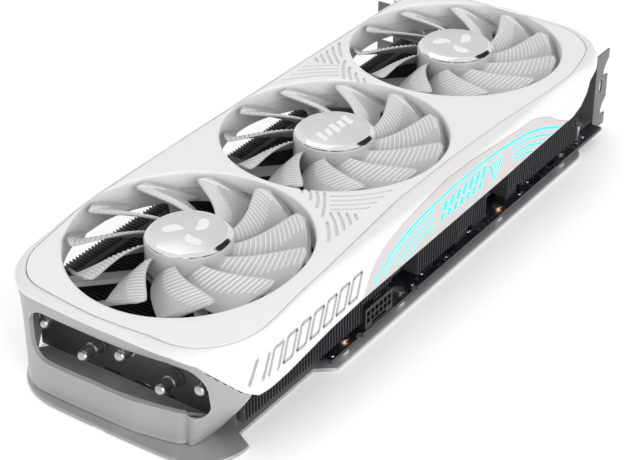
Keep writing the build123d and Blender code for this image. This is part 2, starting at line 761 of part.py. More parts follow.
def heat_pipe(index):
    """One pipe: closed domed end, straight through the tail fins, down to the plate."""
    y = pipe_ys()[index]
    high = pipe_zs()[index]
    start = TAIL_FINS_X1
    end = MIDDLE_FINS_X0
    stop = HEAD_FINS_X1 - 6.0
    radius = 2.2 * PIPE_R
    path = FilletPolyline(
        (PIPE_TAIL_X + 7.0, y, high), (start + 3, y, high), (end - 3, y, PIPE_BASE_Z), (stop, y, PIPE_BASE_Z),
        radius=radius,
    )
    section = Plane(origin=(PIPE_TAIL_X + 7.0, y, high), z_dir=(1, 0, 0)) * Circle(PIPE_R)
    body = sweep(section, path=path)
    neck = rod_x(PIPE_TAIL_X + PIPE_END_R, PIPE_TAIL_X + 7.5, y, high, PIPE_END_R)
    dome = Pos(PIPE_TAIL_X + PIPE_END_R, y, high) * Sphere(PIPE_END_R)
    return body.fuse(neck, dome)


def fin_stack(x0, x1, z0, z1, pipe_heights):
    """A block of thin plates joined by narrow folded strips, with the pipe holes."""
    count = int((x1 - x0 - FIN_T) // FIN_PITCH) + 1
    last = x0 + (count - 1) * FIN_PITCH + FIN_T
    fins = [
        block(x0 + i * FIN_PITCH, x0 + i * FIN_PITCH + FIN_T, FIN_LED_Y, FIN_FAR_Y, z0, z1)
        for i in range(count)
    ]
    strips = []
    for y in (FIN_LED_Y + 8, FAN_Y - 12.0, FAN_Y + 14.0, FIN_FAR_Y - 8):
        for z in (z0, z1 - FIN_T):
            strips.append(block(x0, last, y - 1.2, y + 1.2, z, z + FIN_T))
    stack = fins[0].fuse(*fins[1:], *strips)
    for y, z in zip(pipe_ys(), pipe_heights):
        stack -= rod_x(x0 - 1, last + 1, y, z, PIPE_R)
    for cut in board_relief():
        stack -= cut
    return stack


def cold_plate():
    """The plated base on the processor, which the pipes rest on."""
    y0, y1 = CORE_Y - PLATE_REACH, CORE_Y + PLATE_REACH
    plate = block(CORE_X - PLATE_HALF, CORE_X + PLATE_HALF, y0, y1, DIE_TOP, PLATE_TOP)
    for x, y in cooler_screw_places():
        plate -= rod(x, y, 0, HEIGHT, SPRING_R + 0.4)
    return plate


def cooler_frame():
    """The stiffening frame between board and fins, open over the processor."""
    z0 = frame_bottom()
    z1 = z0 + COOLER_FRAME_T
    x0, x1 = BOARD_TAIL_X + 46.0, HEAD_FINS_X1 - 2
    frame = block(x0, x1, FIN_LED_Y + 9, FIN_FAR_Y - 6, z0, z1)
    half, reach = PLATE_HALF + 0.5, PLATE_REACH + 0.5
    frame -= block(CORE_X - half, CORE_X + half, CORE_Y - reach, CORE_Y + reach, z0 - 1, z1 + 1)
    for x, y in choke_places():
        frame -= block(x - 5, x + 5, y - 5.5, y + 5.5, z0 - 1, z1 + 1)
    for x, y in board_screw_places():
        if x0 < x < x1:
            frame -= rod(x, y, 0, 30, SCREW_HEAD_R + 0.6)
    for x, y in cooler_screw_places():
        frame -= rod(x, y, 0, 30, SPRING_R + 1.2)
    return frame


def fin_end_plate():
    """The dark bulkhead in front of the tail fins, pierced by the pipes and three low slits."""
    x0, x1 = BULKHEAD_X, BULKHEAD_X + BULKHEAD_T
    z0 = FIN_BASE_Z - 1.5
    plate = block(x0, x1, FIN_LED_Y + 3, FIN_FAR_Y - 0.3, z0, FIN_TOP)
    for y, z in zip(pipe_ys(), pipe_zs()):
        plate -= rod_x(x0 - 1, x1 + 1, y, z, PIPE_R + 0.05)
    for low, high in ((4.5, 13.8), (-8.3, -1.0), (-20.1, -16.9)):
        plate -= block(x0 - 1, x1 + 1, FAN_Y + low, FAN_Y + high, z0 + 0.5, z0 + 1.8)
    return plate


def board_relief():
    """Room in the fins for the cold plate, the sprung screws, the socket and the headers."""
    half, reach = PLATE_HALF + 0.4, PLATE_REACH + 0.4
    top = PLATE_TOP + PLATE_ROOM
    cuts = [block(CORE_X - half, CORE_X + half, CORE_Y - reach, CORE_Y + reach, 0, top)]
    for x, y in cooler_screw_places():
        cuts.append(rod(x, y, 0, FIN_TOP + 5, SPRING_R + 1.2))
    x, half = socket_x(), SOCKET_W / 2 + 1.0
    y1 = BOARD_LED_Y + 0.3 + SOCKET_D + 1.0
    cuts.append(block(x - half, x + half, LED_Y, y1, 0, BOARD_TOP + SOCKET_H + 2.0))
    for x in header_xs():
        cuts.append(block(x - 6, x + 6, LED_Y, BOARD_LED_Y + 9.0, 0, BOARD_TOP + 6.4))
    return cuts


def board_screws():
    """Screws from above through the board into the backplate's standoffs."""
    shapes = []
    for x, y in board_screw_places():
        head = rod(x, y, BOARD_TOP, BOARD_TOP + SCREW_HEAD_H, SCREW_HEAD_R)
        shapes.append(head.fuse(rod(x, y, BACKPLATE_T - 1.0, BOARD_TOP + 0.1, SCREW_R)))
    return Compound(children=shapes)


def cooler_screws():
    """Four long screws whose heads press the springs against the frame's posts."""
    shapes = []
    for x, y in cooler_screw_places():
        z0 = BOARD_Z - 1.0
        top = BOARD_TOP + SPRING_L
        head = rod(x, y, top, top + 1.6, SPRING_R + 0.2)
        shapes.append(head.fuse(rod(x, y, z0, top + 0.1, SCREW_R)))
    return Compound(children=shapes)


def cooler_springs():
    """Coil springs under the four screw heads, as stacked rings on a thin sleeve."""
    shapes = []
    z0, z1 = BOARD_TOP, BOARD_TOP + SPRING_L
    for x, y in cooler_screw_places():
        coil = tube(x, y, z0, z1, SPRING_R - 0.5, SCREW_R + 0.35)
        pitch = (z1 - z0 - 2 * SPRING_WIRE) / SPRING_TURNS
        rings = []
        for k in range(SPRING_TURNS + 1):
            z = z0 + SPRING_WIRE + k * pitch
            rings.append(tube(x, y, z - SPRING_WIRE, z + SPRING_WIRE, SPRING_R, SPRING_R - 0.9))
        shapes.append(coil.fuse(*rings))
    return Compound(children=shapes)


# ---------------------------------------------------------------- fans
def fan_frame(x):
    """The motor base with its bearing housing and four arms to the shroud posts."""
    z0, z1 = FRAME_Z, FRAME_Z + FRAME_T
    body = rod(x, FAN_Y, z0, z1, HUB_R - 0.6)
    arms = []
    for corner in range(4):
        arm = Pos(FRAME_POST_R / 2, 0, (z0 + z1) / 2) * Box(FRAME_POST_R, ARM_W, FRAME_T)
        arms.append(Pos(x, FAN_Y, 0) * Rot(0, 0, 45 + 90 * corner) * arm)
    for px, py in fan_post_places():
        if abs(px - x) < FAN_PITCH / 2:
            arms.append(rod(px, py, z0, z1, FRAME_POST_SIZE + 0.8))
    body = body.fuse(*arms)
    body += rod(x, FAN_Y, z1 - 0.1, HOUSING_TOP, HOUSING_R)
    body -= rod(x, FAN_Y, z0 + 0.8, HEIGHT, BEARING_OUT_R + 0.02)
    for px, py in fan_post_places():
        if abs(px - x) < FAN_PITCH / 2:
            body -= rod(px, py, 0, HEIGHT, SCREW_R + 0.2)
    return body


def fan_bearings():
    """The plain sleeve bearing of each fan."""
    z0 = FRAME_Z + 0.8
    sleeves = []
    for x in FAN_XS:
        sleeves.append(tube(x, FAN_Y, z0, HOUSING_TOP, BEARING_OUT_R, SHAFT_R + BEARING_CLEARANCE))
    return Compound(children=sleeves)


def fan_stators():
    """The wound core of each motor, with six poles."""
    z0 = FRAME_Z + FRAME_T + 1.0
    z1 = HOUSING_TOP - 1.4
    shapes = []
    for x in FAN_XS:
        core = rod(x, FAN_Y, z0, z1, HOUSING_R + 2.2)
        poles = []
        for k in range(6):
            turn = Pos(x, FAN_Y, 0) * Rot(0, 0, 60 * k)
            arm = Pos(STATOR_R / 2, 0, (z0 + z1) / 2) * Box(STATOR_R - 1.0, 4.6, z1 - z0)
            shoe = Pos(STATOR_R - 1.4, 0, (z0 + z1) / 2) * Box(1.6, 7.6, (z1 - z0) * 0.6)
            poles += [turn * arm, turn * shoe]
        core = core.fuse(*poles) & rod(x, FAN_Y, z0 - 1, z1 + 1, STATOR_R)
        shapes.append(core - rod(x, FAN_Y, z0 - 1, z1 + 1, HOUSING_R + 0.02))
    return Compound(children=shapes)


def fan_screws():
    """Screws up through the frame arms into the shroud posts."""
    shapes = []
    for x, y in fan_post_places():
        head = rod(x, y, FRAME_Z - 1.2, FRAME_Z, SCREW_HEAD_R)
        shapes.append(head.fuse(rod(x, y, FRAME_Z - 0.1, FRAME_Z + FRAME_T + 6.5, SCREW_R)))
    return Compound(children=shapes)


def shroud_screws():
    """Screws up through the band's tabs into the face plate."""
    shapes = []
    z = FACE_TOP - FACE_T - 2.0
    for x, y in ledge_places():
        head = rod(x, y, z - 1.2, z, SCREW_HEAD_R - 0.2)
        shapes.append(head.fuse(rod(x, y, z - 0.1, FACE_TOP - FACE_T - 0.02, SCREW_R)))
    return Compound(children=shapes)


def lead_angle(r):
    """Angle of a blade's high front edge at radius r, behind its tip."""
    share = (BLADE_TIP_R - r) / (BLADE_TIP_R - HUB_R)
    return -31.0 * max(0.0, share) ** 1.6


def blade_section(r, span, z_high, z_low):
    """A thin cambered strip standing on the chord at radius r, as a planar face."""
    a1 = math.radians(lead_angle(r))
    a0 = a1 - math.radians(span)
    p1 = (r * math.cos(a1), r * math.sin(a1))
    p0 = (r * math.cos(a0), r * math.sin(a0))
    half = math.hypot(p1[0] - p0[0], p1[1] - p0[1]) / 2
    origin = ((p0[0] + p1[0]) / 2, (p0[1] + p1[1]) / 2, 0)
    along = ((p1[0] - p0[0]) / (2 * half), (p1[1] - p0[1]) / (2 * half), 0)
    plane = Plane(origin=origin, x_dir=along, z_dir=(along[1], -along[0], 0))
    mid_z = (z_high + z_low) / 2 - 0.9
    t = BLADE_T
    points = [
        (half, z_high),
        (0, mid_z),
        (-half, z_low),
        (-half, z_low + t),
        (0, mid_z + t),
        (half, z_high + 0.6 * t),
    ]
    sign = 1 if plane.y_dir.Z > 0 else -1
    return plane * make_face(Polyline(*[(u, sign * v) for u, v in points], close=True))


def fan_rotor():
    """The hub cup with its swept blades, turned about the origin."""
    cup = rod(0, 0, HUB_Z, HUB_TOP, HUB_R) - rod(0, 0, HUB_Z - 1, HUB_ROOF_Z, HUB_IN_R)
    cup += rod(0, 0, HUB_ROOF_Z - 1.4, HUB_TOP - 0.2, SHAFT_R + 1.6)
    cup -= rod(0, 0, HUB_Z - 1, HUB_ROOF_Z, SHAFT_R + 0.01)
    top, low = BLADE_TOP, BLADE_LOW
    stations = [
        (HUB_R - 0.6, 31.0, top - 2.2, low + 0.4),
        (HUB_R + 0.33 * (BLADE_TIP_R - HUB_R), 29.5, top - 1.9, low + 0.1),
        (HUB_R + 0.68 * (BLADE_TIP_R - HUB_R), 28.0, top - 1.4, low),
        (BLADE_TIP_R, 27.0, top - 0.7, low),
    ]
    blade = loft([blade_section(*s) for s in stations], ruled=True)
    blades = [Rot(0, 0, TIP_ANGLE + k * 360 / BLADE_COUNT) * blade for k in range(BLADE_COUNT)]
    return cup.fuse(*blades)


def fan_cap():
    """The turned metal disc on the hub, with its bright chamfer."""
    disc = Pos(0, 0, HUB_TOP + CAP_H / 2) * Cylinder(CAP_R, CAP_H)
    rim = disc.edges().filter_by(GeomType.CIRCLE).sort_by(Axis.Z)[-1]
    return chamfer(rim, CAP_CHAMFER)


def fan_magnet():
    """The ring magnet inside the hub cup."""
    z1 = HUB_ROOF_Z - 0.5
    return tube(0, 0, HUB_Z + 0.6, z1, MAGNET_OUT_R, MAGNET_IN_R)


def fan_shaft():
    """The steel shaft, pressed into the hub's boss."""
    return rod(0, 0, FRAME_Z + 1.6, HUB_ROOF_Z, SHAFT_R)


# ---------------------------------------------------------------- build
def main():
    os.makedirs("parts", exist_ok=True)
    save("shroud_face", shroud_face())
    save("shroud_band", shroud_band())
    save("light_panel", light_panel())
    save("light_board", light_board())
    save("tail_cap", tail_cap())
    save("backplate", backplate())
    save("circuit_board", circuit_board())
    save("contact_fingers", contact_fingers())
    save("processor_package", processor_package())
    save("processor_die", processor_die())
    save("memory_chips", memory_chips())
    save("thermal_pads", thermal_pads())
    save("power_chokes", power_chokes())
    save("power_stages", power_stages())
    save("board_capacitors", board_capacitors())
    save("power_socket", power_socket())
    save("power_pins", power_pins())
    save("small_headers", small_headers())
    save("video_sockets", video_sockets())
    save("video_tongues", video_tongues())
    save("io_bracket", io_bracket())
    save("bracket_screws", bracket_screws())
    save("bracket_post", bracket_post())
    save("cold_plate", cold_plate())
    save("cooler_frame", cooler_frame())
    save("fin_end_plate", fin_end_plate())
    for i in range(PIPE_COUNT):
        save(f"heat_pipe_{i + 1}", heat_pipe(i))
    save("fin_stack_tail", fin_stack(TAIL_FINS_X0, TAIL_FINS_X1, FIN_BASE_Z, FIN_TOP, pipe_zs()))
    low = [PIPE_BASE_Z] * PIPE_COUNT
    save("fin_stack_middle", fin_stack(MIDDLE_FINS_X0, MIDDLE_FINS_X1, FIN_BASE_Z, FIN_TOP, low))
    save("fin_stack_head", fin_stack(HEAD_FINS_X0, HEAD_FINS_X1, FIN_BASE_Z, FIN_TOP, low))
    for i, x in enumerate(FAN_XS):
        save(f"fan_{i + 1}_frame", fan_frame(x))
    save("fan_stators", fan_stators())
    save("fan_bearings", fan_bearings())
    save("fan_screws", fan_screws())
    save("shroud_screws", shroud_screws())
    save("board_screws", board_screws())
    save("cooler_screws", cooler_screws())
    save("cooler_springs", cooler_springs())
    rotor, cap, magnet, shaft = fan_rotor(), fan_cap(), fan_magnet(), fan_shaft()
    for i, x in enumerate(FAN_XS):
        place = Pos(x, FAN_Y, 0)
        save(f"fan_{i + 1}_rotor", place * rotor)
        save(f"fan_{i + 1}_cap", place * cap)
        save(f"fan_{i + 1}_magnet", place * magnet)
        save(f"fan_{i + 1}_shaft", place * shaft)


main()
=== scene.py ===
# %% [markdown]
# # A three-fan graphics card
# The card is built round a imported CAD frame. The frame fixes every size and every moving axis,
# and this script adds the finished surfaces: the white shroud, the swept fan blades with their
# raised ribs, the brushed hub caps, the lit side panel and the fine detail of the circuit board.
# All lengths below are in millimetres, because that is how such a card is drawn, and one helper
# turns them into metres when a mesh is made.

# %% Load the frame
import json
import math
import bmesh
import bpy
import numpy as np
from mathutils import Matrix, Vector


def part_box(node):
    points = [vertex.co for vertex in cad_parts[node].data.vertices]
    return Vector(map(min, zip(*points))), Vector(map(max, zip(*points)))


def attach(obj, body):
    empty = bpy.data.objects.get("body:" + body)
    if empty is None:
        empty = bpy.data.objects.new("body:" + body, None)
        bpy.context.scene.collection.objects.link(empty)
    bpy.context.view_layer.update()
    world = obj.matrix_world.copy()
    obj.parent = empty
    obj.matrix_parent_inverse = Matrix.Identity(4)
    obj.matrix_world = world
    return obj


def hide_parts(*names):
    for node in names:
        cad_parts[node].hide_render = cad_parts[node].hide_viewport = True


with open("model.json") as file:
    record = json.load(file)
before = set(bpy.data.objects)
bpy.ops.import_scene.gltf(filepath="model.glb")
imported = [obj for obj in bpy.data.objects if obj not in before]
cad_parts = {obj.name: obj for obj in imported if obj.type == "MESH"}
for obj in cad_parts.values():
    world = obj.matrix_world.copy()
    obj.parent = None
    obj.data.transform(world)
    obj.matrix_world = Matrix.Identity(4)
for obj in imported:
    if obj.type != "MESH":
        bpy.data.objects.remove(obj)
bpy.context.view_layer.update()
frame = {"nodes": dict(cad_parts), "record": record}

MM = 0.001

# %% Key places
def span(node):
    """Lowest and highest corner of a CAD node, in millimetres."""
    low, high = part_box(node)
    return np.array(low) / MM, np.array(high) / MM

band_low, band_high = span("shroud_band")
TAIL, LED, HEAD, FAR = band_low[0], band_low[1], band_high[0], band_high[1]
joints = frame["record"]["behaviour"]["joints"]
FAN_XS = [j["pos_m"][0] / MM for j in joints]
FAN_Y = joints[0]["pos_m"][1] / MM
TOP = span("fan_1_cap")[0][2]
print("fans at x", np.round(FAN_XS, 1), "y", round(FAN_Y, 2), "face at z", round(float(TOP), 1))

# %% [markdown]
# ## A small workshop for surfaces
# Every new piece is a surface worked out with numpy: a grid of points, a function of two
# parameters. `Shell` collects such grids, welds them, turns all faces outwards and hands the
# result to Blender. It also makes the piece ride on its CAD body, so nothing is left behind.

# %% Shell: grids of points become one closed mesh
class Shell:
    """Grids of points and single faces that become one closed mesh."""

    def __init__(self):
        self.points, self.faces, self.count = [], [], 0

    def grid(self, p, wrap_u=False, wrap_v=False, skip=None):
        """Adds quads between neighbours of p, an array of (rows, columns, 3), but those to skip."""
        rows, columns = p.shape[:2]
        at = np.arange(rows * columns).reshape(rows, columns)
        if wrap_u:
            at = np.vstack([at, at[:1]])
        if wrap_v:
            at = np.hstack([at, at[:, :1]])
        quads = np.stack([at[:-1, :-1], at[1:, :-1], at[1:, 1:], at[:-1, 1:]], -1)
        quads = quads[~skip] if skip is not None else quads.reshape(-1, 4)
        return self.add(p.reshape(-1, 3), quads.tolist())

    def add(self, points, faces):
        """Adds points, and faces that count from the first of them."""
        self.faces += [[i + self.count for i in face] for face in faces]
        self.points.append(np.asarray(points, float))
        self.count += len(points)
        return self

    def lid(self, ring):
        """Closes a ring of points with one face."""
        return self.add(ring, [list(range(len(ring)))])

    def sheet(self, front, rear):
        """Adds a closed slab: two grids of the same size, joined along their four edges."""
        self.grid(front).grid(rear)
        edges = lambda p: (p[0], p[-1], p[:, 0], p[:, -1])
        for pair in zip(edges(front), edges(rear)):
            self.grid(np.stack(pair))
        return self

    def lathe(self, profile, centre, steps=96):
        """Adds a closed (radius, height) profile swept once round a vertical axis."""
        r, z = np.array(profile, float).T
        turn = np.linspace(0, 2 * np.pi, steps, endpoint=False)[:, None]
        x = centre[0] + r * np.cos(turn)
        y = centre[1] + r * np.sin(turn)
        rows = np.stack([x, y, np.broadcast_to(z, x.shape)], -1)
        return self.grid(rows, wrap_u=True, wrap_v=True)

    def mesh(self, name, weld=0.004):
        """Welds points nearer than weld and turns the faces outwards."""
        mesh = bpy.data.meshes.new(name)
        mesh.from_pydata((np.vstack(self.points) * MM).tolist(), [], self.faces)
        work = bmesh.new()
        work.from_mesh(mesh)
        bmesh.ops.remove_doubles(work, verts=work.verts, dist=weld * MM)
        bmesh.ops.recalc_face_normals(work, faces=work.faces)
        work.to_mesh(mesh)
        work.free()
        return mesh


CREASE_DEG = 32


def piece(name, shell, finish, body="card", stands_for=(), weld=0.004):
    """Puts a shell into the scene as a smooth piece with crisp edges above the crease angle."""
    mesh = shell.mesh(name, weld)
    thing = bpy.data.objects.new(name, mesh)
    bpy.context.collection.objects.link(thing)
    mesh.materials.append(finish)
    mesh.shade_smooth()
    mesh.set_sharp_from_angle(angle=math.radians(CREASE_DEG))
    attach(thing, body)
    if stands_for:
        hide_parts(*stands_for)
    print(f"{name}: {len(mesh.vertices)} points, {len(mesh.polygons)} faces")
    return thing


# %% Lines, plates and cuts
def arc(centre, r, start, end, count, endpoint=True):
    """Points on a circle from one angle to another, in radians."""
    a = np.linspace(start, end, count, endpoint=endpoint)
    return np.column_stack([centre[0] + r * np.cos(a), centre[1] + r * np.sin(a)])


def evenly(line, count, endpoint=True):
    """Resamples a line so that its points are evenly spaced by its first two columns."""
    run = np.append(0, np.cumsum(np.hypot(*np.diff(line[:, :2], axis=0).T)))
    at = np.linspace(0, run[-1], count, endpoint=endpoint)
    return np.column_stack([np.interp(at, run, column) for column in line.T])


def soften(values, passes):
    """Rounds a run of values with a repeated 1-2-1 average that keeps both ends."""
    for _ in range(passes):
        values[1:-1] = (values[:-2] + 2 * values[1:-1] + values[2:]) / 4
    return values


def normals_2d(ring):
    """Outward unit normals of a counter-clockwise ring, from the chord across each point."""
    chord = np.roll(ring, -1, 0) - np.roll(ring, 1, 0)
    chord /= np.linalg.norm(chord, axis=1, keepdims=True)
    return np.stack([chord[:, 1], -chord[:, 0]], -1)


def plate(shell, ring, z0, z1, round_edge=0.0, steps=3):
    """A flat plate: the ring carried from z0 to z1, with quarter-round edges and two lids."""
    ring = np.array(ring, float)
    out = normals_2d(ring)
    turn = np.linspace(0, np.pi / 2, steps) if round_edge else np.zeros(1)
    low = [(round_edge * (1 - np.sin(a)), z0 + round_edge * (1 - np.cos(a))) for a in turn]
    high = [(inset, z1 - (z - z0)) for inset, z in low[::-1]]
    full = lambda z: np.full(len(ring), z)
    rows = [np.column_stack([ring - out * inset, full(z)]) for inset, z in low + high]
    shell.grid(np.array(rows), wrap_v=True)
    shell.lid(rows[0])
    return shell.lid(rows[-1])


def ribbon(path, width, ends=5):
    """The outline of a line drawn with a round pen: left side, end cap, right side, end cap."""
    path = np.array(path, float)
    along = np.gradient(path, axis=0)
    along /= np.linalg.norm(along, axis=1, keepdims=True)
    side = np.stack([-along[:, 1], along[:, 0]], -1) * width / 2
    turn = np.linspace(0, np.pi, ends + 2)[1:-1, None]
    last = path[-1] + np.cos(turn) * side[-1] + np.sin(turn) * along[-1] * width / 2
    first = path[0] - np.cos(turn) * side[0] - np.sin(turn) * along[0] * width / 2
    return np.vstack([path + side, last, (path - side)[::-1], first])[::-1]


def cut(target, tools, name):
    """Cuts the tools' mesh out of the target object for good, with an exact boolean."""
    helper = bpy.data.objects.new(name, tools.mesh(name))
    bpy.context.collection.objects.link(helper)
    step = target.modifiers.new("cut", "BOOLEAN")
    step.operation, step.object, step.solver = "DIFFERENCE", helper, "EXACT"
    solved = target.evaluated_get(bpy.context.evaluated_depsgraph_get())
    baked = bpy.data.meshes.new_from_object(solved)
    target.modifiers.remove(step)
    target.data = baked
    bpy.data.objects.remove(helper)
    baked.shade_smooth()
    baked.set_sharp_from_angle(angle=math.radians(CREASE_DEG))
    print(f"{name}: cut, leaving {len(baked.polygons)} faces")
    return target

# %% [markdown]
# ## Finishes
# A finish is a network of shader nodes. Writing it out node by node hides the idea, so a socket
# is wrapped in a small class: adding or multiplying two sockets adds the Math node that does it.
# What varies over a surface goes only into colour, roughness, metallic and bump.

# %% Sockets that can be added and multiplied
class Value:
    """A node's output; arithmetic on it adds the Math node that does the sum."""

    def __init__(self, finish, socket):
        self.finish, self.socket = finish, socket

    def math(self, operation, other):
        return self.finish.node("Math", {"operation": operation}, {0: self, 1: other})

    def __add__(self, other): return self.math("ADD", other)
    def __radd__(self, other): return self.math("ADD", other)
    def __sub__(self, other): return self.math("SUBTRACT", other)
    def __mul__(self, other): return self.math("MULTIPLY", other)
    def __gt__(self, other): return self.math("GREATER_THAN", other)
    def __lt__(self, other): return self.math("LESS_THAN", other)


class Finish:
    """One material and its nodes, with Object coordinates ready as its place."""

    def __init__(self, name):
        self.material = bpy.data.materials.new(name)
        self.material.use_nodes = True
        self.tree = self.material.node_tree
        self.shader = self.tree.nodes["Principled BSDF"]
        self.place = self.node("TexCoord", {}, {}, "Object")

    def node(self, kind, settings, values, output=0):
        """Adds a shader node: settings first, then its sockets' values or links."""
        made = self.tree.nodes.new("ShaderNode" + kind)
        for key, value in settings.items():
            setattr(made, key, value)
        for key, value in values.items():
            self.link(made.inputs[key], value)
        return Value(self, made.outputs[output])

    def link(self, socket, value):
        """Connects a Value, or stores a constant on the socket itself."""
        if isinstance(value, Value):
            self.tree.links.new(value.socket, socket)
        else:
            socket.default_value = value

    def set(self, **values):
        """Sets the shader's own sockets; underscores in the names stand for spaces."""
        for key, value in values.items():
            self.link(self.shader.inputs[key.replace("_", " ")], value)
        return self

    def noise(self, scale, detail=2.0, rough=0.5, place=None):
        """Cloudy noise between 0 and 1; scale is in waves per metre."""
        values = {"Vector": place or self.place, "Scale": scale}
        values |= {"Detail": detail, "Roughness": rough}
        return self.node("TexNoise", {}, values)

    def axis(self, name, place=None):
        """One coordinate of a place, by its name: X, Y or Z."""
        return self.node("SeparateXYZ", {}, {0: place or self.place}, name)

    def mix(self, share, a, b):
        """Colour a turning into colour b as share goes from 0 to 1."""
        return self.node("Mix", {"data_type": "RGBA"}, {0: share, 6: a, 7: b}, 2)

    def bump(self, height, distance):
        """Tilts the surface by a height field; distance is a full step's height in metres."""
        values = {"Strength": 1.0, "Distance": distance, "Height": height}
        return self.node("Bump", {}, values)


def grey(level, warm=0.0):
    """A neutral colour; warm tips it towards red, or towards blue when negative."""
    return (level * (1 + warm), level, level * (1 - warm), 1.0)


# %% The family of moulded and painted finishes
HIGHLIGHT_FROM, HIGHLIGHT_TO = 0.52, 0.62


def coated(name, colour, rough, grain, depth, spread=0.05, metallic=0.0, coat=0.0,
           scale=90.0, edge_highlight=None):
    """Base colour with slow cloudy change, roughness that varies, and a fine grain as bump."""
    f = Finish(name)
    slow = f.noise(scale, 3.0)
    fine = f.noise(grain, 4.0, 0.6)
    dark = tuple(c * (1 - spread) for c in colour[:3]) + (1.0,)
    light = tuple(min(1.0, c * (1 + spread)) for c in colour[:3]) + (1.0,)
    base = f.mix(slow, dark, light)
    # Painted highlight: the colour turns lighter on sharp edges, found by pointiness, as if they
    # caught the light.
    if edge_highlight:
        edge = f.node("NewGeometry", {}, {}, "Pointiness")
        highlight_mask = f.node("MapRange", {}, {0: edge, 1: HIGHLIGHT_FROM, 2: HIGHLIGHT_TO})
        base = f.mix(highlight_mask, base, edge_highlight[:3] + (1.0,))
    f.set(Base_Color=base, Roughness=rough + (slow - 0.5) * 0.12 + (fine - 0.5) * 0.08)
    f.set(Metallic=metallic, Coat_Weight=coat, Coat_Roughness=0.12)
    f.set(Normal=f.bump(fine, depth * MM))
    return f.material

# %% [markdown]
# The whites and greys of the shroud are moulded plastic: the face is satin with a fine spark
# grain, the outer band is smoother and takes a clear highlight. Fins, bracket and screws are
# coated or plated metal, so they get a deeper grain. Fins, bracket, backplate and tail plastic
# also get a painted highlight: their colour turns lighter on sharp edges.
# Each line gives the colour, the roughness, the grain in waves per metre and its depth in mm,
# then how far the colour spreads, and the shares of metallic and clear coat.

# %% Finishes for the shroud, fans and metal parts
WHITE = coated("satin white shroud", grey(0.80, 0.004), 0.42, 2600, 0.012, 0.015)
GLOSS = coated("gloss white band", grey(0.73), 0.24, 1500, 0.004, 0.01, coat=0.5)
BLADE = coated("fan plastic", grey(0.52), 0.40, 2200, 0.012, 0.03)
# Painted highlight: the ribs are the blades' plastic made lighter, for the light their raised edges
# catch.
RIB_HIGHLIGHT = coated("fan ribs with painted highlight", grey(0.76), 0.34, 2200, 0.006, 0.02)
# The next four finishes get a painted highlight: a lighter colour on their sharp edges.
GREY = coated("grey tail plastic", grey(0.36, -0.006), 0.36, 2400, 0.015, 0.05, coat=0.15,
              edge_highlight=grey(0.52))
FRAME_GREY = coated("grey fan frame", grey(0.42), 0.5, 2200, 0.02, 0.05)
BACK = coated("painted backplate", grey(0.34), 0.38, 1800, 0.012, 0.04, 0.25, edge_highlight=grey(0.62))
FINS = coated("black painted fins", (0.016, 0.017, 0.020), 0.42, 1600, 0.01, 0.2, 0.3,
              edge_highlight=(0.07, 0.07, 0.08))
BLACK = coated("black sheet metal", (0.035, 0.036, 0.040), 0.38, 1700, 0.012, 0.15, 0.35,
               edge_highlight=(0.16, 0.16, 0.17))
SHADE = coated("dark bulkhead", (0.085, 0.085, 0.088), 0.5, 1700, 0.012, 0.2, 0.2)
NICKEL = coated("nickel plated pipe", (0.50, 0.49, 0.48), 0.26, 900, 0.006, 0.12, 1.0, scale=220)
STEEL = coated("zinc plated steel", (0.62, 0.61, 0.58), 0.28, 2500, 0.006, 0.1, 1.0)
SOCKET = coated("black socket plastic", (0.012, 0.012, 0.013), 0.45, 2600, 0.012, 0.2)
CHIP = coated("chip resin", (0.020, 0.020, 0.022), 0.5, 3500, 0.01, 0.2)
SILICON = coated("silicon die", (0.07, 0.08, 0.10), 0.12, 900, 0.001, 0.1, 0.6)
PAD = coated("thermal pad", (0.18, 0.20, 0.23), 0.85, 1400, 0.03, 0.15)
CHOKE = coated("choke ferrite", (0.045, 0.045, 0.048), 0.6, 3000, 0.03, 0.2)
GOLD = coated("gold contact", (0.83, 0.60, 0.25), 0.22, 2000, 0.003, 0.08, 1.0)
COPPER = coated("copper pad", (0.72, 0.36, 0.17), 0.30, 2000, 0.003, 0.12, 1.0)
TIN = coated("tinned solder", (0.62, 0.63, 0.62), 0.34, 2600, 0.01, 0.15, 1.0)
BRONZE = coated("sleeve bronze", (0.42, 0.24, 0.10), 0.35, 1800, 0.006, 0.15, 1.0)
WINDING = coated("wound stator", (0.25, 0.10, 0.04), 0.45, 2400, 0.05, 0.25, 0.4)
MAGNET = coated("ring magnet", (0.06, 0.06, 0.065), 0.6, 2200, 0.02, 0.2)
LAMP = coated("lamp strip", (0.70, 0.72, 0.70), 0.5, 2000, 0.01, 0.05)
INLAY = coated("grey printed inlay", grey(0.36), 0.5, 2500, 0.006, 0.04)
PANEL = coated("frosted light panel", (0.57, 0.53, 0.525), 0.38, 2200, 0.006, 0.015, coat=0.2)
print("finishes:", len(bpy.data.materials))

# %% [markdown]
# The hub disc is turned, so its scratches are circles. Distance from the axis goes through noise:
# the same distance gets the same value all round, which draws fine rings, and a second, slower
# noise by angle keeps them from looking printed.

# %% Brushed discs, the lit lines and the circuit board
def turned_metal(name, centre):
    """Metal with fine rings about a centre given in millimetres."""
    f = Finish(name)
    shift = (-centre[0] * MM, -centre[1] * MM, 0)
    where = f.node("Mapping", {}, {"Vector": f.place, "Location": shift})
    x, y = f.axis("X", where), f.axis("Y", where)
    radius = f.node("Math", {"operation": "SQRT"}, {0: x * x + y * y})
    ring = f.node("CombineXYZ", {}, {0: radius})
    rings = f.noise(5200, 3.0, 0.7, place=ring)
    cloud = f.noise(160, 3.0)
    mark = rings * 0.6 + cloud * 0.4
    f.set(Base_Color=f.mix(mark, (0.62, 0.62, 0.63, 1), (0.86, 0.86, 0.87, 1)), Metallic=1.0)
    f.set(Roughness=0.30 + (mark - 0.5) * 0.2, Normal=f.bump(rings, 0.006 * MM))
    return f.material


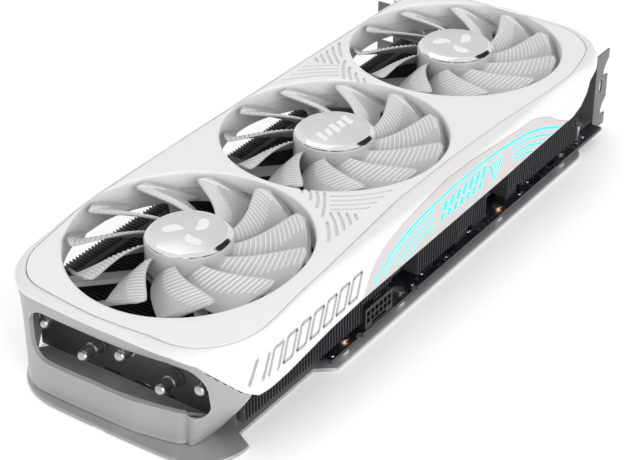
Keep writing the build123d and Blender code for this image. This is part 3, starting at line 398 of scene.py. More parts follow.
def lit_line():
    """Cyan light guide: glows evenly, a touch uneven where each lamp sits behind it."""
    f = Finish("cyan light line")
    lamps = f.noise(70, 1.0)
    glow = f.mix(lamps, (0.0, 0.80, 0.85, 1), (0.0, 0.95, 1.0, 1))
    f.set(Base_Color=glow, Roughness=0.4, Emission_Color=glow, Emission_Strength=0.75)
    return f.material


def board_lacquer():
    """Near-black lacquer over copper: faint slanted tracks, cloudy ground and tiny vias."""
    f = Finish("dark circuit board")
    slant = (0, 0, math.radians(28))
    turn = f.node("Mapping", {}, {"Vector": f.place, "Rotation": slant})
    wave = {"Vector": turn, "Scale": 190, "Distortion": 1.5, "Detail": 1.0}
    tracks = f.node("TexWave", {"bands_direction": "X"}, wave)
    ground = f.noise(120, 4.0)
    dots = f.node("TexVoronoi", {}, {"Vector": f.place, "Scale": 420.0})
    via = dots < 0.13
    shown = (tracks > 0.72) * (ground > 0.5)
    base = f.mix(shown, (0.006, 0.0075, 0.013, 1), (0.016, 0.020, 0.030, 1))
    base = f.mix(via * 0.8, base, (0.16, 0.12, 0.08, 1))
    f.set(Base_Color=base, Roughness=0.34 + ground * 0.15, Metallic=via * 0.6, Coat_Weight=0.25)
    f.set(Normal=f.bump(shown * 0.6 + via, 0.02 * MM))
    return f.material


CAPS = [turned_metal(f"turned hub disc {i + 1}", (x, FAN_Y)) for i, x in enumerate(FAN_XS)]
CYAN = lit_line()
BOARD = board_lacquer()

# %% [markdown]
# ## Dressing the frame's own nodes
# Nodes whose CAD shape is already right keep their mesh and only get a finish.

# %% Finishes on CAD nodes
by_slot = dict(
    white_shell=WHITE, gloss_white=GLOSS, panel=PANEL, light_board=LAMP, grey_shell=GREY,
    grey_plate=BACK, board=BOARD, gold=GOLD, silicon=SILICON, chip=CHIP, pad=PAD, choke=CHOKE,
    capacitor=CHIP, black_plastic=SOCKET, socket_metal=STEEL, black_metal=BLACK,
    screw_steel=STEEL, nickel=NICKEL, black_fins=FINS, stator=WINDING, bronze=BRONZE,
    screw_black=BLACK, spring_steel=STEEL, fan_plastic=BLADE, cap_metal=CAPS[0],
    magnet=MAGNET, shaft_steel=STEEL,
)
special = {"fin_end_plate": SHADE} | {f"fan_{k}_frame": FRAME_GREY for k in (1, 2, 3)}
for part in frame["record"]["subparts"]:
    node = frame["nodes"][part["node"]]
    finish = special.get(part["node"], by_slot[part["material_slot"]])
    node.data.materials.clear()
    node.data.materials.append(finish)
print("CAD nodes dressed:", len(frame["nodes"]))

# %% [markdown]
# ## The shroud outline
# Seen from above the shroud is a long rounded box whose two ends bow outwards. Each corner is a
# circle that touches the straight side and the large bow circle, so its centre follows from
# Pythagoras. Everything that wraps the shroud (band, face, tail cap) is carried along this line.

# %% Outline of the shroud
CORNER_R = (31.0, 22.0)
TAIL_BOW, HEAD_BOW = 4.8, 1.5
BAND_TAIL = TAIL + 2.6


def bowed_box(ends, sides, tail_r, head_r, bows, corner_count, bow_count):
    """A long box with bowed ends, counter-clockwise from the lit side's head end.
    The ends are (tail, head) in x and the sides (lit, far) in y; each end's radii go in the
    same order as the sides, and the bows are how far the tail and the head swell."""
    middle, half = sum(sides) / 2, (sides[1] - sides[0]) / 2

    def corner(end, bow, sign, r, side):
        big = (half ** 2 + bow ** 2) / (2 * bow)
        bow_x = end - sign * big
        cy = sides[0] + r if side < 0 else sides[1] - r
        cx = bow_x + sign * math.sqrt((big - r) ** 2 - (cy - middle) ** 2)
        tilt = math.atan2(cy - middle, cx - bow_x)
        return (cx, cy), r, tilt if sign > 0 else tilt % (2 * np.pi), (bow_x, middle), big

    (tail, head), (tail_bow, head_bow) = ends, bows
    hn, hf = (corner(head, head_bow, 1, r, s) for r, s in zip(head_r, (-1, 1)))
    tn, tf = (corner(tail, tail_bow, -1, r, s) for r, s in zip(tail_r, (-1, 1)))
    return np.vstack([
        arc(*hn[:2], -np.pi / 2, hn[2], corner_count),
        arc(*hn[3:], hn[2], hf[2], bow_count)[1:-1],
        arc(*hf[:2], hf[2], np.pi / 2, corner_count),
        arc(*tf[:2], np.pi / 2, tf[2], corner_count),
        arc(*tf[3:], tf[2], tn[2], bow_count)[1:-1],
        arc(*tn[:2], tn[2], 1.5 * np.pi, corner_count),
    ])


def outline(count=640):
    """Points spread evenly round the shroud."""
    bows = (TAIL_BOW, HEAD_BOW)
    line = bowed_box((BAND_TAIL, HEAD), (LED, FAR), CORNER_R, CORNER_R, bows, 120, 120)
    return evenly(np.vstack([line, line[:1]]), count, endpoint=False)


RING = outline()
OUT = normals_2d(RING)


def along_ring(controls):
    """Spreads values over the outline: each control is (x, y, value) at its nearest point."""
    spots = np.array([c[:2] for c in controls], float)
    near = np.argmin(np.linalg.norm(RING[None] - spots[:, None], axis=2), axis=1)
    order = np.argsort(near)
    values = np.array([c[2] for c in controls], float)[order]
    return np.interp(np.arange(len(RING)), near[order], values, period=len(RING))


FALL, FALL_SOFT = 6.5 / 60, 8


def top_z(x):
    """Height of the face: level, then falling gently from the first fan to the tail.
    The fall is slope times (p + square root of p squared plus s squared) / 2, p past the fan."""
    past = FAN_XS[0] - x
    return TOP - FALL * (past + np.sqrt(past ** 2 + FALL_SOFT ** 2)) / 2


SEAM = along_ring([
    (-90, LED, 2.6), (-32, LED, 7.4), (10, LED, 7.2), (46, LED, 5.6), (81, LED, 2.6),
    (100, LED, 2.0), (118, -63, 5.2), (138, -52, 5.6), (145, -20, 4.6), (144, 15, 4.0),
    (135, 35, 3.2), (110, FAR, 1.8), (46, FAR, 1.6), (-40, FAR, 1.6), (-110, FAR, 2.0),
    (-143, 36, 4.4), (-155, 18, 4.0), (-156, -8, 3.3), (-158, -31, 4.2), (-149, -50, 2.4),
    (-137, -61, 1.9), (-120, LED, 2.0),
])
EDGE = along_ring([
    (-133, -63, 25.6), (-116, LED, 26.2), (-90, LED, 29.4), (-68, LED, 30.7), (36, LED, 32.0),
    (89, LED, 33.4), (101, LED, 33.6), (109, LED, 35.8), (113, LED, 40.0), (116, -65, 45.5),
    (120, -64, 47.0), (140, -48, 47.0), (145, 0, 46.0), (130, 38, 45.0), (100, FAR, 44.0),
    (-90, FAR, 44.0), (-130, FAR, 44.6), (-149, 32, 45.3), (-156, 10, 46.2), (-156, -20, 46.3),
    (-153, -42, 45.2), (-150, -51, 42.6), (-146, -57, 37.2), (-138, -62, 28.9),
])
around = float(np.hypot(*np.diff(RING, axis=0).T).sum())
print("outline", len(RING), "points, perimeter", round(around), "mm")

# %% [markdown]
# ## The outer band
# The band is one profile carried round the outline. At every place the profile is the same idea:
# lower edge, upright side, a soft quarter ellipse over the top, then the seam where it drops down
# beside the face. Only three numbers change on the way round: top height, seam inset, lower edge.

# %% Band section and band
PROUD = 0.06
BAND_WALL, LOWER_WALL = 2.4, 1.9
ROLL_SHARE, ROLL_MOST = 0.8, 5.2


def roll_size(top, low, seam):
    """Half-axes of the quarter ellipse over the top: inwards and down."""
    return seam * ROLL_SHARE, np.minimum(ROLL_MOST, (top - low) * 0.55)


def band_section(where, flat=12, roll=9):
    """Profile at ring places: (inset, height) pairs from the lower edge over the top to the seam.
    The roll is a quarter ellipse, inset = a - a cos t and height = top - b + b sin t."""
    top, low, seam = top_z(RING[where, 0]), EDGE[where], SEAM[where]
    a, b = roll_size(top, low, seam)
    inset = [np.full_like(top, 0.6), np.full_like(top, 0.22)]
    high = [low, low + 0.16]
    for share in np.linspace(0, 1, flat):
        inset.append(np.full_like(top, PROUD))
        high.append(low + 0.6 + share * (top - b - low - 0.6))
    for turn in np.linspace(0, np.pi / 2, roll)[1:]:
        inset.append(PROUD + a - a * np.cos(turn))
        high.append(top - b + b * np.sin(turn))
    inset += [seam - 0.3, seam - 0.07, seam]
    high += [top, top - 0.08, top - 0.35]
    return np.array(inset).T, np.array(high).T


def on_ring(where, inset, high):
    """Turns inset and height at ring places into points in space."""
    p = RING[where, None] - OUT[where, None] * inset[..., None]
    return np.concatenate([p, high[..., None]], -1)


every = np.arange(len(RING))
inset, high = band_section(every)
wall = np.minimum(BAND_WALL, SEAM)[:, None]
top = top_z(RING[:, 0])[:, None]
back_inset = np.hstack([SEAM[:, None], wall, wall, np.minimum(wall, LOWER_WALL)])
back_high = np.hstack([top - 1.6, top - 1.9, EDGE[:, None] + 0.35, EDGE[:, None]])
section = on_ring(every, np.hstack([inset, back_inset]), np.hstack([high, back_high]))
band = Shell().grid(section, wrap_u=True, wrap_v=True)
band_piece = piece("outer_band", band, GLOSS, stands_for=["shroud_band"])

# %% [markdown]
# ## The face with its three ducts
# Round each fan the face is star-shaped, so it can be drawn in polar form: for every direction the
# surface starts down in the duct, rolls over a small lip and runs out to the seam, or to the line
# halfway to the next fan. Neighbouring cells share their points on that line and weld into one.

# %% Face plate
DUCT_R, SKIN_R, DUCT_LOW = 47.3, 48.4, 41.05
RIM_GAP, RIM_EASE, LIP_R, PLATE_T = 0.32, 0.25, 1.0, 2.2
RIM = RING - OUT * (SEAM[:, None] + RIM_GAP)


def reach(centre, angles):
    """Distance from centre to the rim along each angle: the ray crossed with every rim edge."""
    a, b = RIM, np.roll(RIM, -1, 0)
    d = np.stack([np.cos(angles), np.sin(angles)], -1)[:, None]
    e, w = (b - a)[None], (a - centre)[None]
    cross = lambda p, q: p[..., 0] * q[..., 1] - p[..., 1] * q[..., 0]
    det = cross(d, e)
    with np.errstate(divide="ignore", invalid="ignore"):
        t, u = cross(w, e) / det, cross(w, d) / det
    t = np.where((u >= 0) & (u <= 1) & (t > 0), t, np.inf)
    return t.min(1)


def face_cell(index, count=240, rows=5):
    """One fan's share of the face, as rings of points from the duct's foot to the outer edge."""
    centre = np.array([FAN_XS[index], FAN_Y])
    half = (FAN_XS[1] - FAN_XS[0]) / 2
    angles = np.linspace(0, 2 * np.pi, count, endpoint=False)
    sides = [s for s in (-1, 1) if 0 <= index + s < len(FAN_XS)]
    shared = np.zeros(count, bool)
    far = reach(centre, angles)
    for s in sides:
        for up in (-1, 1):
            probe = np.linspace(0.2, 1.45, 400) * up
            turned = probe if s > 0 else np.pi - probe
            over = reach(centre, turned) * np.cos(probe) - half
            corner = turned[np.argmin(np.abs(over))] % (2 * np.pi)
            k = int(round(corner / (2 * np.pi) * count)) % count
            angles[k] = corner
            far[k] = half / abs(math.cos(corner))
            shared[k] = True
        with np.errstate(divide="ignore"):
            line = np.where(np.cos(angles) * s > 1e-6, half / np.abs(np.cos(angles)), np.inf)
        shared |= line <= far + 1e-6
        far = np.minimum(far, line)
    d = np.stack([np.cos(angles), np.sin(angles)], -1)
    point = lambda r: centre + d * np.broadcast_to(r, count)[:, None]
    lip = np.minimum(LIP_R, (far - DUCT_R) * 0.8)
    rings = [
        (point(SKIN_R - 0.3), DUCT_LOW), (point(DUCT_R + 0.75), DUCT_LOW),
        (point(DUCT_R + 0.45), DUCT_LOW + 0.3), (point(DUCT_R + 0.45), TOP - 7.6),
        (point(DUCT_R + 0.05), TOP - 7.2),
    ]
    for t in np.linspace(0, np.pi / 2, 6):
        ring = point(DUCT_R + lip * (1 - np.cos(t)))
        rings.append((ring, top_z(ring[:, 0]) - lip * (1 - np.sin(t))))
    ease = np.where(shared, 0, RIM_EASE)
    for s in np.linspace(0, 1, rows)[1:]:
        ring = point((DUCT_R + lip) * (1 - s) + (far - ease) * s)
        rings.append((ring, top_z(ring[:, 0])))
    edge = point(far)
    rings.append((edge, top_z(edge[:, 0]) - ease))
    wall = len(rings) - 1
    rings.append((edge, top_z(edge[:, 0]) - PLATE_T))
    under = point(np.minimum(SKIN_R, far))
    rings += [(under, top_z(under[:, 0]) - PLATE_T), (under, DUCT_LOW + 0.3)]
    grid = np.array([np.column_stack([xy, np.broadcast_to(z, count)]) for xy, z in rings])
    skip = np.zeros((len(grid), count), bool)
    skip[wall] = shared & np.roll(shared, -1)
    return grid, skip


face = Shell()
for index in range(len(FAN_XS)):
    grid, skip = face_cell(index)
    face.grid(grid, wrap_v=True, wrap_u=True, skip=skip)
face_piece = piece("face_plate", face, WHITE, stands_for=["shroud_face"], weld=0.01)

# %% [markdown]
# ## Groove fields between the fans
# Two of the four triangles between the ducts are combed with grooves: arcs that keep a constant
# distance from one fan or the other, and four straight ones between them. Each groove is a line
# drawn with a round pen and pressed into the plate, and the second field is the first one turned
# half way round the middle fan.

# %% Grooves pressed into the face
GROOVE_W, GROOVE_DEPTH, GROOVES_Y = 1.3, 1.2, -44.2


def arc_until(centre, r, start, end_y, steps=26):
    """Arc of radius r about centre, from the start angle in degrees to where it reaches end_y."""
    a0 = math.radians(start)
    a1 = math.asin((end_y - centre[1]) / r)
    if math.cos(a0) < 0:
        a1 = -math.pi - a1
    return arc(centre, r, a0, a1, steps)


def bowed(start, end, bulge=0.5, steps=12):
    """A line between two points, raised sideways by a parabola of the given height."""
    a, b = np.array(start), np.array(end)
    t = np.linspace(0, 1, steps)[:, None]
    side = np.array([-(b - a)[1], (b - a)[0]]) / np.linalg.norm(b - a)
    return a + t * (b - a) + 4 * bulge * t * (1 - t) * side


pitch = FAN_XS[1] - FAN_XS[0]
grooves = [arc_until((0, 0), 51.6 + 3.25 * k, -147.5, GROOVES_Y) for k in range(4)]
starts = (-45.0, -38.1, -38.9, -40.3, -41.5)
grooves += [arc_until((-pitch, 0), 52 + 2.9 * k, a, GROOVES_Y - 1) for k, a in enumerate(starts)]
grooves += [
    bowed((-42.7, -23.75), (-57.7, -33.25)), bowed((-43.6, -20.75), (-53.6, -27.95)),
    bowed((-44.3, -17.45), (-50.3, -22.45)), bowed((-45.0, -14.05), (-47.8, -16.85)),
]
pens = Shell()
for path in grooves:
    for turn in (1, -1):
        ring = ribbon(path * turn, GROOVE_W) + (FAN_XS[1], FAN_Y)
        plate(pens, ring, TOP - GROOVE_DEPTH, TOP + 1)
cut(face_piece, pens, "grooves")

# %% [markdown]
# ## The lit side panel
# The panel lies flush in the side of the band, so it uses the band's own section: a place on it is
# found from how far along the card it is and how high. Its arched outline follows a few measured
# heights. The light guides are thin square bars set into it, and they glow.

# %% Frosted panel and its pocket
def skin_y(x, z):
    """Where the band's outer surface stands at a place on the straight lit side."""
    side = RING[:, 1] < LED + 24
    order = np.argsort(RING[side, 0])
    xs, ys = RING[side][order].T
    seam, edge = np.interp(x, xs, SEAM[side][order]), np.interp(x, xs, EDGE[side][order])
    top = top_z(x)
    a, b = roll_size(top, edge, seam)
    rise = np.clip((z - (top - b)) / b, 0, 1)
    return np.interp(x, xs, ys) + PROUD + a * (1 - np.sqrt(1 - rise ** 2))


ARCH = np.array([
    (-68.3, 30.9), (-62.9, 40.3), (-55, 46.5), (-41, 50.3), (-24.8, 52), (-7.8, 53.1), (15, 52.7),
    (34.5, 51.5), (63.1, 49.6), (76.3, 44.9), (86.6, 38.6), (96.4, 33.9),
])
PANEL_T, POCKET_T, POCKET_GAP = 1.3, 1.35, 0.16


def arch_patch(x0, x1, grow, foot, columns=140, rows=26):
    """Grid of places inside the arch, pushed out by grow at the rim and down by foot."""
    x = (x0 + x1) / 2 - (x1 - x0) / 2 * np.cos(np.linspace(0, np.pi, columns))
    arch_x, arch_z = evenly(ARCH, 400).T
    arch_z = soften(arch_z, 30)
    low = np.interp(x, [-68.3, 36, 96.4], [30.7, 32.0, 33.8]) + 0.25 - foot
    high = np.maximum(np.interp(x, arch_x, arch_z) + grow, low)
    z = low + np.linspace(0, 1, rows)[:, None] * (high - low)
    return np.broadcast_to(x, z.shape), z


x, z = arch_patch(-68.6, 96.7, POCKET_GAP, 2.0)
front = np.stack([x, np.full_like(z, LED - 1.0), z], -1)
rear = np.stack([x, skin_y(x, z) + POCKET_T, z], -1)
cut(band_piece, Shell().sheet(front, rear), "panel_pocket")
x, z = arch_patch(-68.3, 96.4, 0.0, 0.0)
front, rear = (np.stack([x, skin_y(x, z) + depth, z], -1) for depth in (0.0, PANEL_T))
piece("side_light_panel", Shell().sheet(front, rear), PANEL, stands_for=["light_panel"],
      weld=0.01)

# %% Light guides, lit mark and printed inlay
def side_bar(shell, path, width, front=-0.03, back=0.35, smooth=True):
    """A square bar along a path of (x, z) places in the band's side."""
    path = np.array(path, float)
    if smooth:
        path = soften(evenly(path, 60), 24)
    along = np.gradient(path, axis=0)
    along /= np.linalg.norm(along, axis=1, keepdims=True)
    side = np.stack([-along[:, 1], along[:, 0]], -1) * width / 2
    rings = []
    for sign, depth in ((-1, front), (1, front), (1, back), (-1, back)):
        xz = path + sign * side
        rings.append(np.column_stack([xz[:, 0], skin_y(xz[:, 0], xz[:, 1]) + depth, xz[:, 1]]))
    tube = np.array(rings).transpose(1, 0, 2)
    shell.grid(tube, wrap_v=True)
    return shell.lid(tube[0]).lid(tube[-1])


guides = Shell()
LINES_W, MAIN_W, BARS_W = 0.9, 1.15, 2.5
side_bar(guides, [
    (-61, 33.3), (-52, 40.6), (-42.1, 44.6), (-27.1, 46.9), (1.6, 49.0), (34, 48.2), (60.1, 45),
    (74.8, 40.7), (88.4, 34.4),
], MAIN_W)
for path in (
    [(-53.1, 33.2), (-46, 39.5), (-36, 43.2), (-17.4, 45.3)],
    [(-45.1, 32.8), (-39, 37.6), (-31, 40.2), (-17.4, 41.3)],
    [(-37.5, 32.6), (-32, 35.6), (-26, 37.0), (-17.1, 37.7)],
    [(43.5, 44), (58, 42.3), (70, 38.6), (81.1, 34.2)],
    [(45.7, 40.2), (57, 38.9), (66, 36.4), (72.9, 33.9)],
    [(46.7, 37.1), (55, 36.3), (61, 34.8), (64.4, 33.7)],
):
    side_bar(guides, path, LINES_W)
for k, high in enumerate((44.6, 45.0, 45.4, 45.7, 45.9, 46.0, 46.0)):
    foot = -11.6 + k * 5.0
    side_bar(guides, [(foot, 37.0), (foot + 1.3, 39.9)], BARS_W, smooth=False)
    leaning = (foot + 1.8 + (high - 41) * 0.45, high)
    side_bar(guides, [(foot + 1.8, 41.0), leaning], BARS_W, smooth=False)
for path, width in (
    ([(26.3, 44.4), (31.2, 35.4), (36.1, 44.4)], 1.7),
    ([(28.9, 45.0), (31.2, 40.8), (33.5, 45.0)], 1.1),
):
    side_bar(guides, path, width, smooth=False)
piece("light_guides", guides, CYAN)

FRAMES, FRAME_STEP, FRAME_W, FRAME_H, FRAME_LEAN, LINE_W = 8, 8.4, 5.6, 9.8, 3.4, 1.5
marks = Shell()
for k in range(FRAMES):
    foot, low = -137.0 + k * FRAME_STEP, 31.6 + 0.35 * k
    head, high = foot + FRAME_LEAN, low + FRAME_H
    box = [(foot, low), (foot + FRAME_W, low), (head + FRAME_W, high), (head, high)]
    for a, b in zip(box, box[1:] + box[:1]):
        side_bar(marks, [a, b], LINE_W, front=-0.045, smooth=False)
piece("printed_inlay", marks, INLAY)

# %% [markdown]
# ## Fan rotors
# A blade is a thin strip swept round the hub. At each radius its leading edge lags behind the tip
# by 31 degrees times a power of the distance from the tip, and across its width it falls from a
# high leading edge to a low trailing edge, gently at first: fall = 0.55 c + 0.45 c squared.
# The raised ribs on it are arcs of constant radius that ride the same surface.

# %% One blade, its ribs and the hub
TIP_R, HUB_R, BLADES, BLADE_T = 45.35, 17.0, 11, 1.1
LOW_Z, HIGH_Z, FIRST_TIP_DEG, LAG_DEG = 43.15, 54.0, 1.6, 31.0
ROUND_FROM, ROUND_DEG = 42.6, 6.72
RIBS, RIB_FROM, RIB_STEP = 14, 19.2, 1.86


def blade_place(c, r):
    """Top surface of the blade at width share c (0 leading, 1 trailing) and radius r: angle, z."""
    share = np.clip((TIP_R - r) / (TIP_R - HUB_R), 0, 1)
    corner = np.clip((r - ROUND_FROM) / (TIP_R - ROUND_FROM), 0, 1)
    rounded = ROUND_DEG * (1 - np.sqrt(np.clip(1 - corner ** 2, 0, 1)))
    lead = -LAG_DEG * share ** 1.6 - rounded
    span = 27.0 + 4.0 * share
    high = HIGH_Z - 1.5 * share
    fall = (high - LOW_Z - BLADE_T) * (0.55 * c + 0.45 * c * c)
    return np.radians(lead - span * c), high - fall


def blade_points(c, r, drop=0.0):
    """The same place in space, on a blade about the origin, and lower by drop."""
    a, z = blade_place(c, r)
    return np.stack([r * np.cos(a), r * np.sin(a), z - drop], -1)


def blade_shell(shell, ribs, turn, centre):
    """Adds a closed blade, top and underside joined round a thin rim, and the ribs on it."""
    r = np.linspace(HUB_R - 0.5, TIP_R, 26)[:, None]
    c = 0.5 - 0.5 * np.cos(np.linspace(0, np.pi, 22))[None]
    r, c = np.broadcast_arrays(r, c)
    thick = BLADE_T * np.clip(4.5 * np.minimum(c, 1 - c) + 0.45, 0, 1)
    top, low = blade_points(c, r), blade_points(c, r, thick)
    loop = np.concatenate([top, low[:, ::-1]], 1)
    cos, sin = math.cos(turn), math.sin(turn)
    spin = np.array([[cos, sin, 0], [-sin, cos, 0], [0, 0, 1]])
    move = np.array([*centre, 0])
    loop = loop @ spin + move
    shell.grid(loop, wrap_v=True).lid(loop[-1]).lid(loop[0])
    for k in range(RIBS):
        end = 0.50 + 0.12 * math.sin(k * 0.35)
        rib(ribs, RIB_FROM + k * RIB_STEP, 0.035, end, 0.72, 0.42, spin, move)
    rib(ribs, TIP_R - 1.0, 0.05, 0.60, 0.7, 0.30, spin, move)


def rib(shell, r, c0, c1, width, height, spin, move):
    """A low ridge along the surface: a half-round section carried from c0 to c1, faded out."""
    c = np.linspace(c0, c1, 13)[:, None]
    fade = np.clip(np.minimum(c - c0, c1 - c) / 0.05, 0.06, 1)
    side = np.array([-0.5, -0.34, 0, 0.34, 0.5])[None] * width
    up = np.array([0, 0.75, 1, 0.75, 0])[None] * height * fade
    line = blade_points(np.broadcast_to(c, (13, 5)), r + side)
    line[..., 2] += up
    base = blade_points(np.broadcast_to(c, (13, 5)), r + side, 0.35)[:, ::-1]
    loop = np.concatenate([line, base], 1) @ spin + move
    shell.grid(loop, wrap_v=True)
    shell.lid(loop[0]).lid(loop[-1])


def hub_profile():
    """Cup section from the inside of the roof, down the inner wall and up the outside."""
    low, roof = 42.55, TOP - 1.5
    outside = [(HUB_R, 43.1), (HUB_R, TOP - 1.0)]
    t = np.linspace(0, np.pi / 2, 6)[1:]
    outside += [(HUB_R - 0.8 + 0.8 * math.cos(a), TOP - 0.85 + 0.8 * math.sin(a)) for a in t]
    inside = [(1.55, TOP - 0.02), (1.55, roof), (15.6, roof), (15.6, low)]
    return inside + [(16.4, low), (16.8, low + 0.2)] + outside


for i, x in enumerate(FAN_XS):
    fan = f"fan_{i + 1}"
    rotor, ribs = Shell().lathe(hub_profile(), (x, FAN_Y), 128), Shell()
    for k in range(BLADES):
        turn = math.radians(FIRST_TIP_DEG + k * 360 / BLADES)
        blade_shell(rotor, ribs, turn, (x, FAN_Y))
    piece(f"{fan}_blades", rotor, BLADE, fan, [f"{fan}_rotor"], weld=0.002)
    # The ribs take the lighter rib colour, a painted highlight.
    piece(f"{fan}_ribs", ribs, RIB_HIGHLIGHT, fan, weld=0.002)

# %% [markdown]
# ## Hub caps
# The cap is turned in one go: a flat disc and a wide bright chamfer. The marks on top are
# plain: a three-leaf propeller on the outer fans, bars between.

# %% Caps and their marks
CHROME = coated("bright chamfer", grey(0.86), 0.09, 900, 0.0005, 0.02, 1.0)
MARK = coated("raised hub mark", grey(0.86), 0.3, 2000, 0.004, 0.02)
DISC = [(0.001, 55.35), (0.001, 56.72), (14.1, 56.72), (14.35, 56.62), (14.35, 55.35)]
CHAMFER = [
    (14.37, 55.3), (14.37, 56.66), (14.6, 56.72), (15.0, 56.62), (16.2, 55.62), (16.5, 55.36),
    (16.5, 55.06), (14.37, 55.06),
]
MARK_Z = (56.7, 56.96)


def bars_mark(shell, centre, count=5, step=4.4):
    """Slanted bars in a row, tall and short by turns, turned a little with the fan."""
    c, s = math.cos(math.radians(-2)), math.sin(math.radians(-2))
    for k in range(count):
        mid, tall = (k - count // 2) * step, (3.2, 2.2)[k % 2]
        ring = [(mid - 2.6, -tall), (mid + 0.4, -tall), (mid + 2.6, tall), (mid - 0.4, tall)]
        plate(shell, np.array(ring) @ [[c, s], [-s, c]] + centre, *MARK_Z)


def leaves_mark(shell, centre, count=3):
    """Leaves that curl outwards: the middle line turns with the radius, the width is a sine."""
    share = np.linspace(0, 1, 14)
    r = 2.6 + 7.6 * share
    half = 0.378 * np.sin(np.pi * (0.08 + 0.86 * share)) ** 0.8
    for k in range(count):
        middle = math.radians(90 + 360 / count * k) + 0.5 * share
        side = lambda a: np.column_stack([r * np.cos(a), r * np.sin(a)])
        ring = np.vstack([side(middle - half), side(middle + half)[::-1]])
        plate(shell, ring + centre, *MARK_Z)


for i, x in enumerate(FAN_XS):
    fan, here, mark = f"fan_{i + 1}", (x, FAN_Y), Shell()
    disc, chamfer = Shell().lathe(DISC, here, 128), Shell().lathe(CHAMFER, here, 128)
    piece(f"{fan}_disc", disc, CAPS[i], fan, [f"{fan}_cap"])
    piece(f"{fan}_chamfer", chamfer, CHROME, fan)
    (bars_mark if i == 1 else leaves_mark)(mark, here)
    piece(f"{fan}_mark", mark, MARK, fan)

# %% [markdown]
# ## Tail cap
# The cap is a thick skin that hangs from the band and leans inwards as it goes down. It is drawn
# as inset against height at places round the tail, closed inside by a second skin, and then the
# big rounded window is cut through it. Below, the scoop floor climbs from bulkhead to lower lip.

# %% Cap wall, window and floor
CAP_BEHIND, CAP_T, CAP_FOOT = -135.2, 2.0, 1.9


def tail_run(count=150):
    """Places on the outline round the tail, from the lit side to the far side, evenly spread,
    and the outward directions there."""
    keep = RING[:, 0] < CAP_BEHIND
    line, out = RING[keep], OUT[keep]
    order = np.argsort(np.arctan2(line[:, 1] - FAN_Y, CAP_BEHIND + 30 - line[:, 0]))
    return np.hsplit(evenly(np.hstack([line, out])[order], count), 2)


CAP_LINE, CAP_OUT = tail_run()
cap_top = np.array([EDGE[np.argmin(np.hypot(*(RING - p).T))] for p in CAP_LINE]) - 0.12
levels = np.array([0, 0.04, 0.1, 0.2, 0.3, 0.42, 0.54, 0.66, 0.76, 0.84, 0.9, 0.95, 0.985, 1.0])
cap_y = CAP_LINE[:, 1]
beyond = CAP_LINE[:, 0] - BAND_TAIL
far_edge = np.interp(beyond, [0, 12, 15, 22], [CAP_FOOT, CAP_FOOT, 3.5, 14.0])
low_edge = np.where(cap_y > 0, far_edge, CAP_FOOT)
high = low_edge + levels[:, None] * (cap_top - low_edge)
foot_y = [-64, -60, -55, -48, -40, -20, 0, 20, 34]
foot_inset = np.interp(cap_y, foot_y, [18.5, 15.5, 12.5, 10, 7.5, 5.0, 4.6, 3.2, 1.4])
hollow = np.interp(high, [2, 12, 20, 30, 38.8, 42, 46.3], [1.0, 1.08, 1.04, 0.95, 0.72, 0.36, 0.1])
slope = (cap_top - high) / (cap_top - CAP_FOOT)
lean = np.clip((-cap_y - 38) / 20, 0, 1)
inset = 0.35 + foot_inset * (hollow * (1 - lean) + (0.03 + 0.97 * slope ** 1.15) * lean)
inwards = CAP_OUT * np.column_stack([1 - lean, np.ones_like(lean)])
inwards /= np.linalg.norm(inwards, axis=1, keepdims=True)
outer, inner = (
    np.concatenate([CAP_LINE - inwards * (inset[..., None] + depth), high[..., None]], -1)
    for depth in (0.0, CAP_T))
cap = Shell().sheet(outer, inner)
cap_piece = piece("tail_cap_wall", cap, GREY, stands_for=["tail_cap"], weld=0.01)


def window_ring(grow):
    """Rounded window seen from the tail, as (y, z) places, larger all round by grow."""
    y0, y1, z0, z1 = -52.5 - grow, 27.0 + grow, 15.6 - grow, 38.6 + grow
    r = 8.5 + grow
    centres = [(y1 - r, z1 - r), (y0 + r, z1 - r), (y0 + r, z0 + r), (y1 - r, z0 + r)]
    quarter = np.pi / 2
    return np.vstack([arc(c, r, k * quarter, (k + 1) * quarter, 9) for k, c in enumerate(centres)])


steps = [(-165, 3.5), (-156, 1.2), (-151, 0.2), (-140, -0.4), (-128, -0.8)]
rows = [np.insert(window_ring(grow), 0, x, axis=1) for x, grow in steps]
window = Shell().grid(np.array(rows), wrap_v=True).lid(rows[0]).lid(rows[-1])
cut(cap_piece, window, "tail_window")

FLOOR_X, FLOOR_LOW, FLOOR_HIGH, FLOOR_T = -135.6, 9.6, 15.6, 1.4
ys = np.linspace(-50, 33, 40)
climb = np.linspace(0, 1, 12)[:, None]
back_x = np.interp(ys, [-50, -40, -6, 25, 33], [-140.5, -145.5, -150.6, -149.2, -147.0])
fx = FLOOR_X + climb * (back_x - FLOOR_X)
fz = FLOOR_LOW + (FLOOR_HIGH - FLOOR_LOW) * climb ** 1.25 * np.ones_like(ys)
top_side = np.stack([fx, np.broadcast_to(ys, fx.shape), fz], -1)
scoop = Shell().sheet(top_side, top_side - (0, 0, FLOOR_T))
piece("tail_scoop", scoop, GREY, weld=0.01)

# %% [markdown]
# ## Backplate with a bright edge
# The plate is pressed from sheet with an eased edge that catches the light, and its finish adds a
# painted highlight, a lighter colour on that edge. Slots, screw holes and the notch beside the
# board are cut afterwards, and the eight standoffs are turned tubes on it.

# %% Backplate
plate_low, plate_high = span("backplate")
board_low, board_high = span("circuit_board")

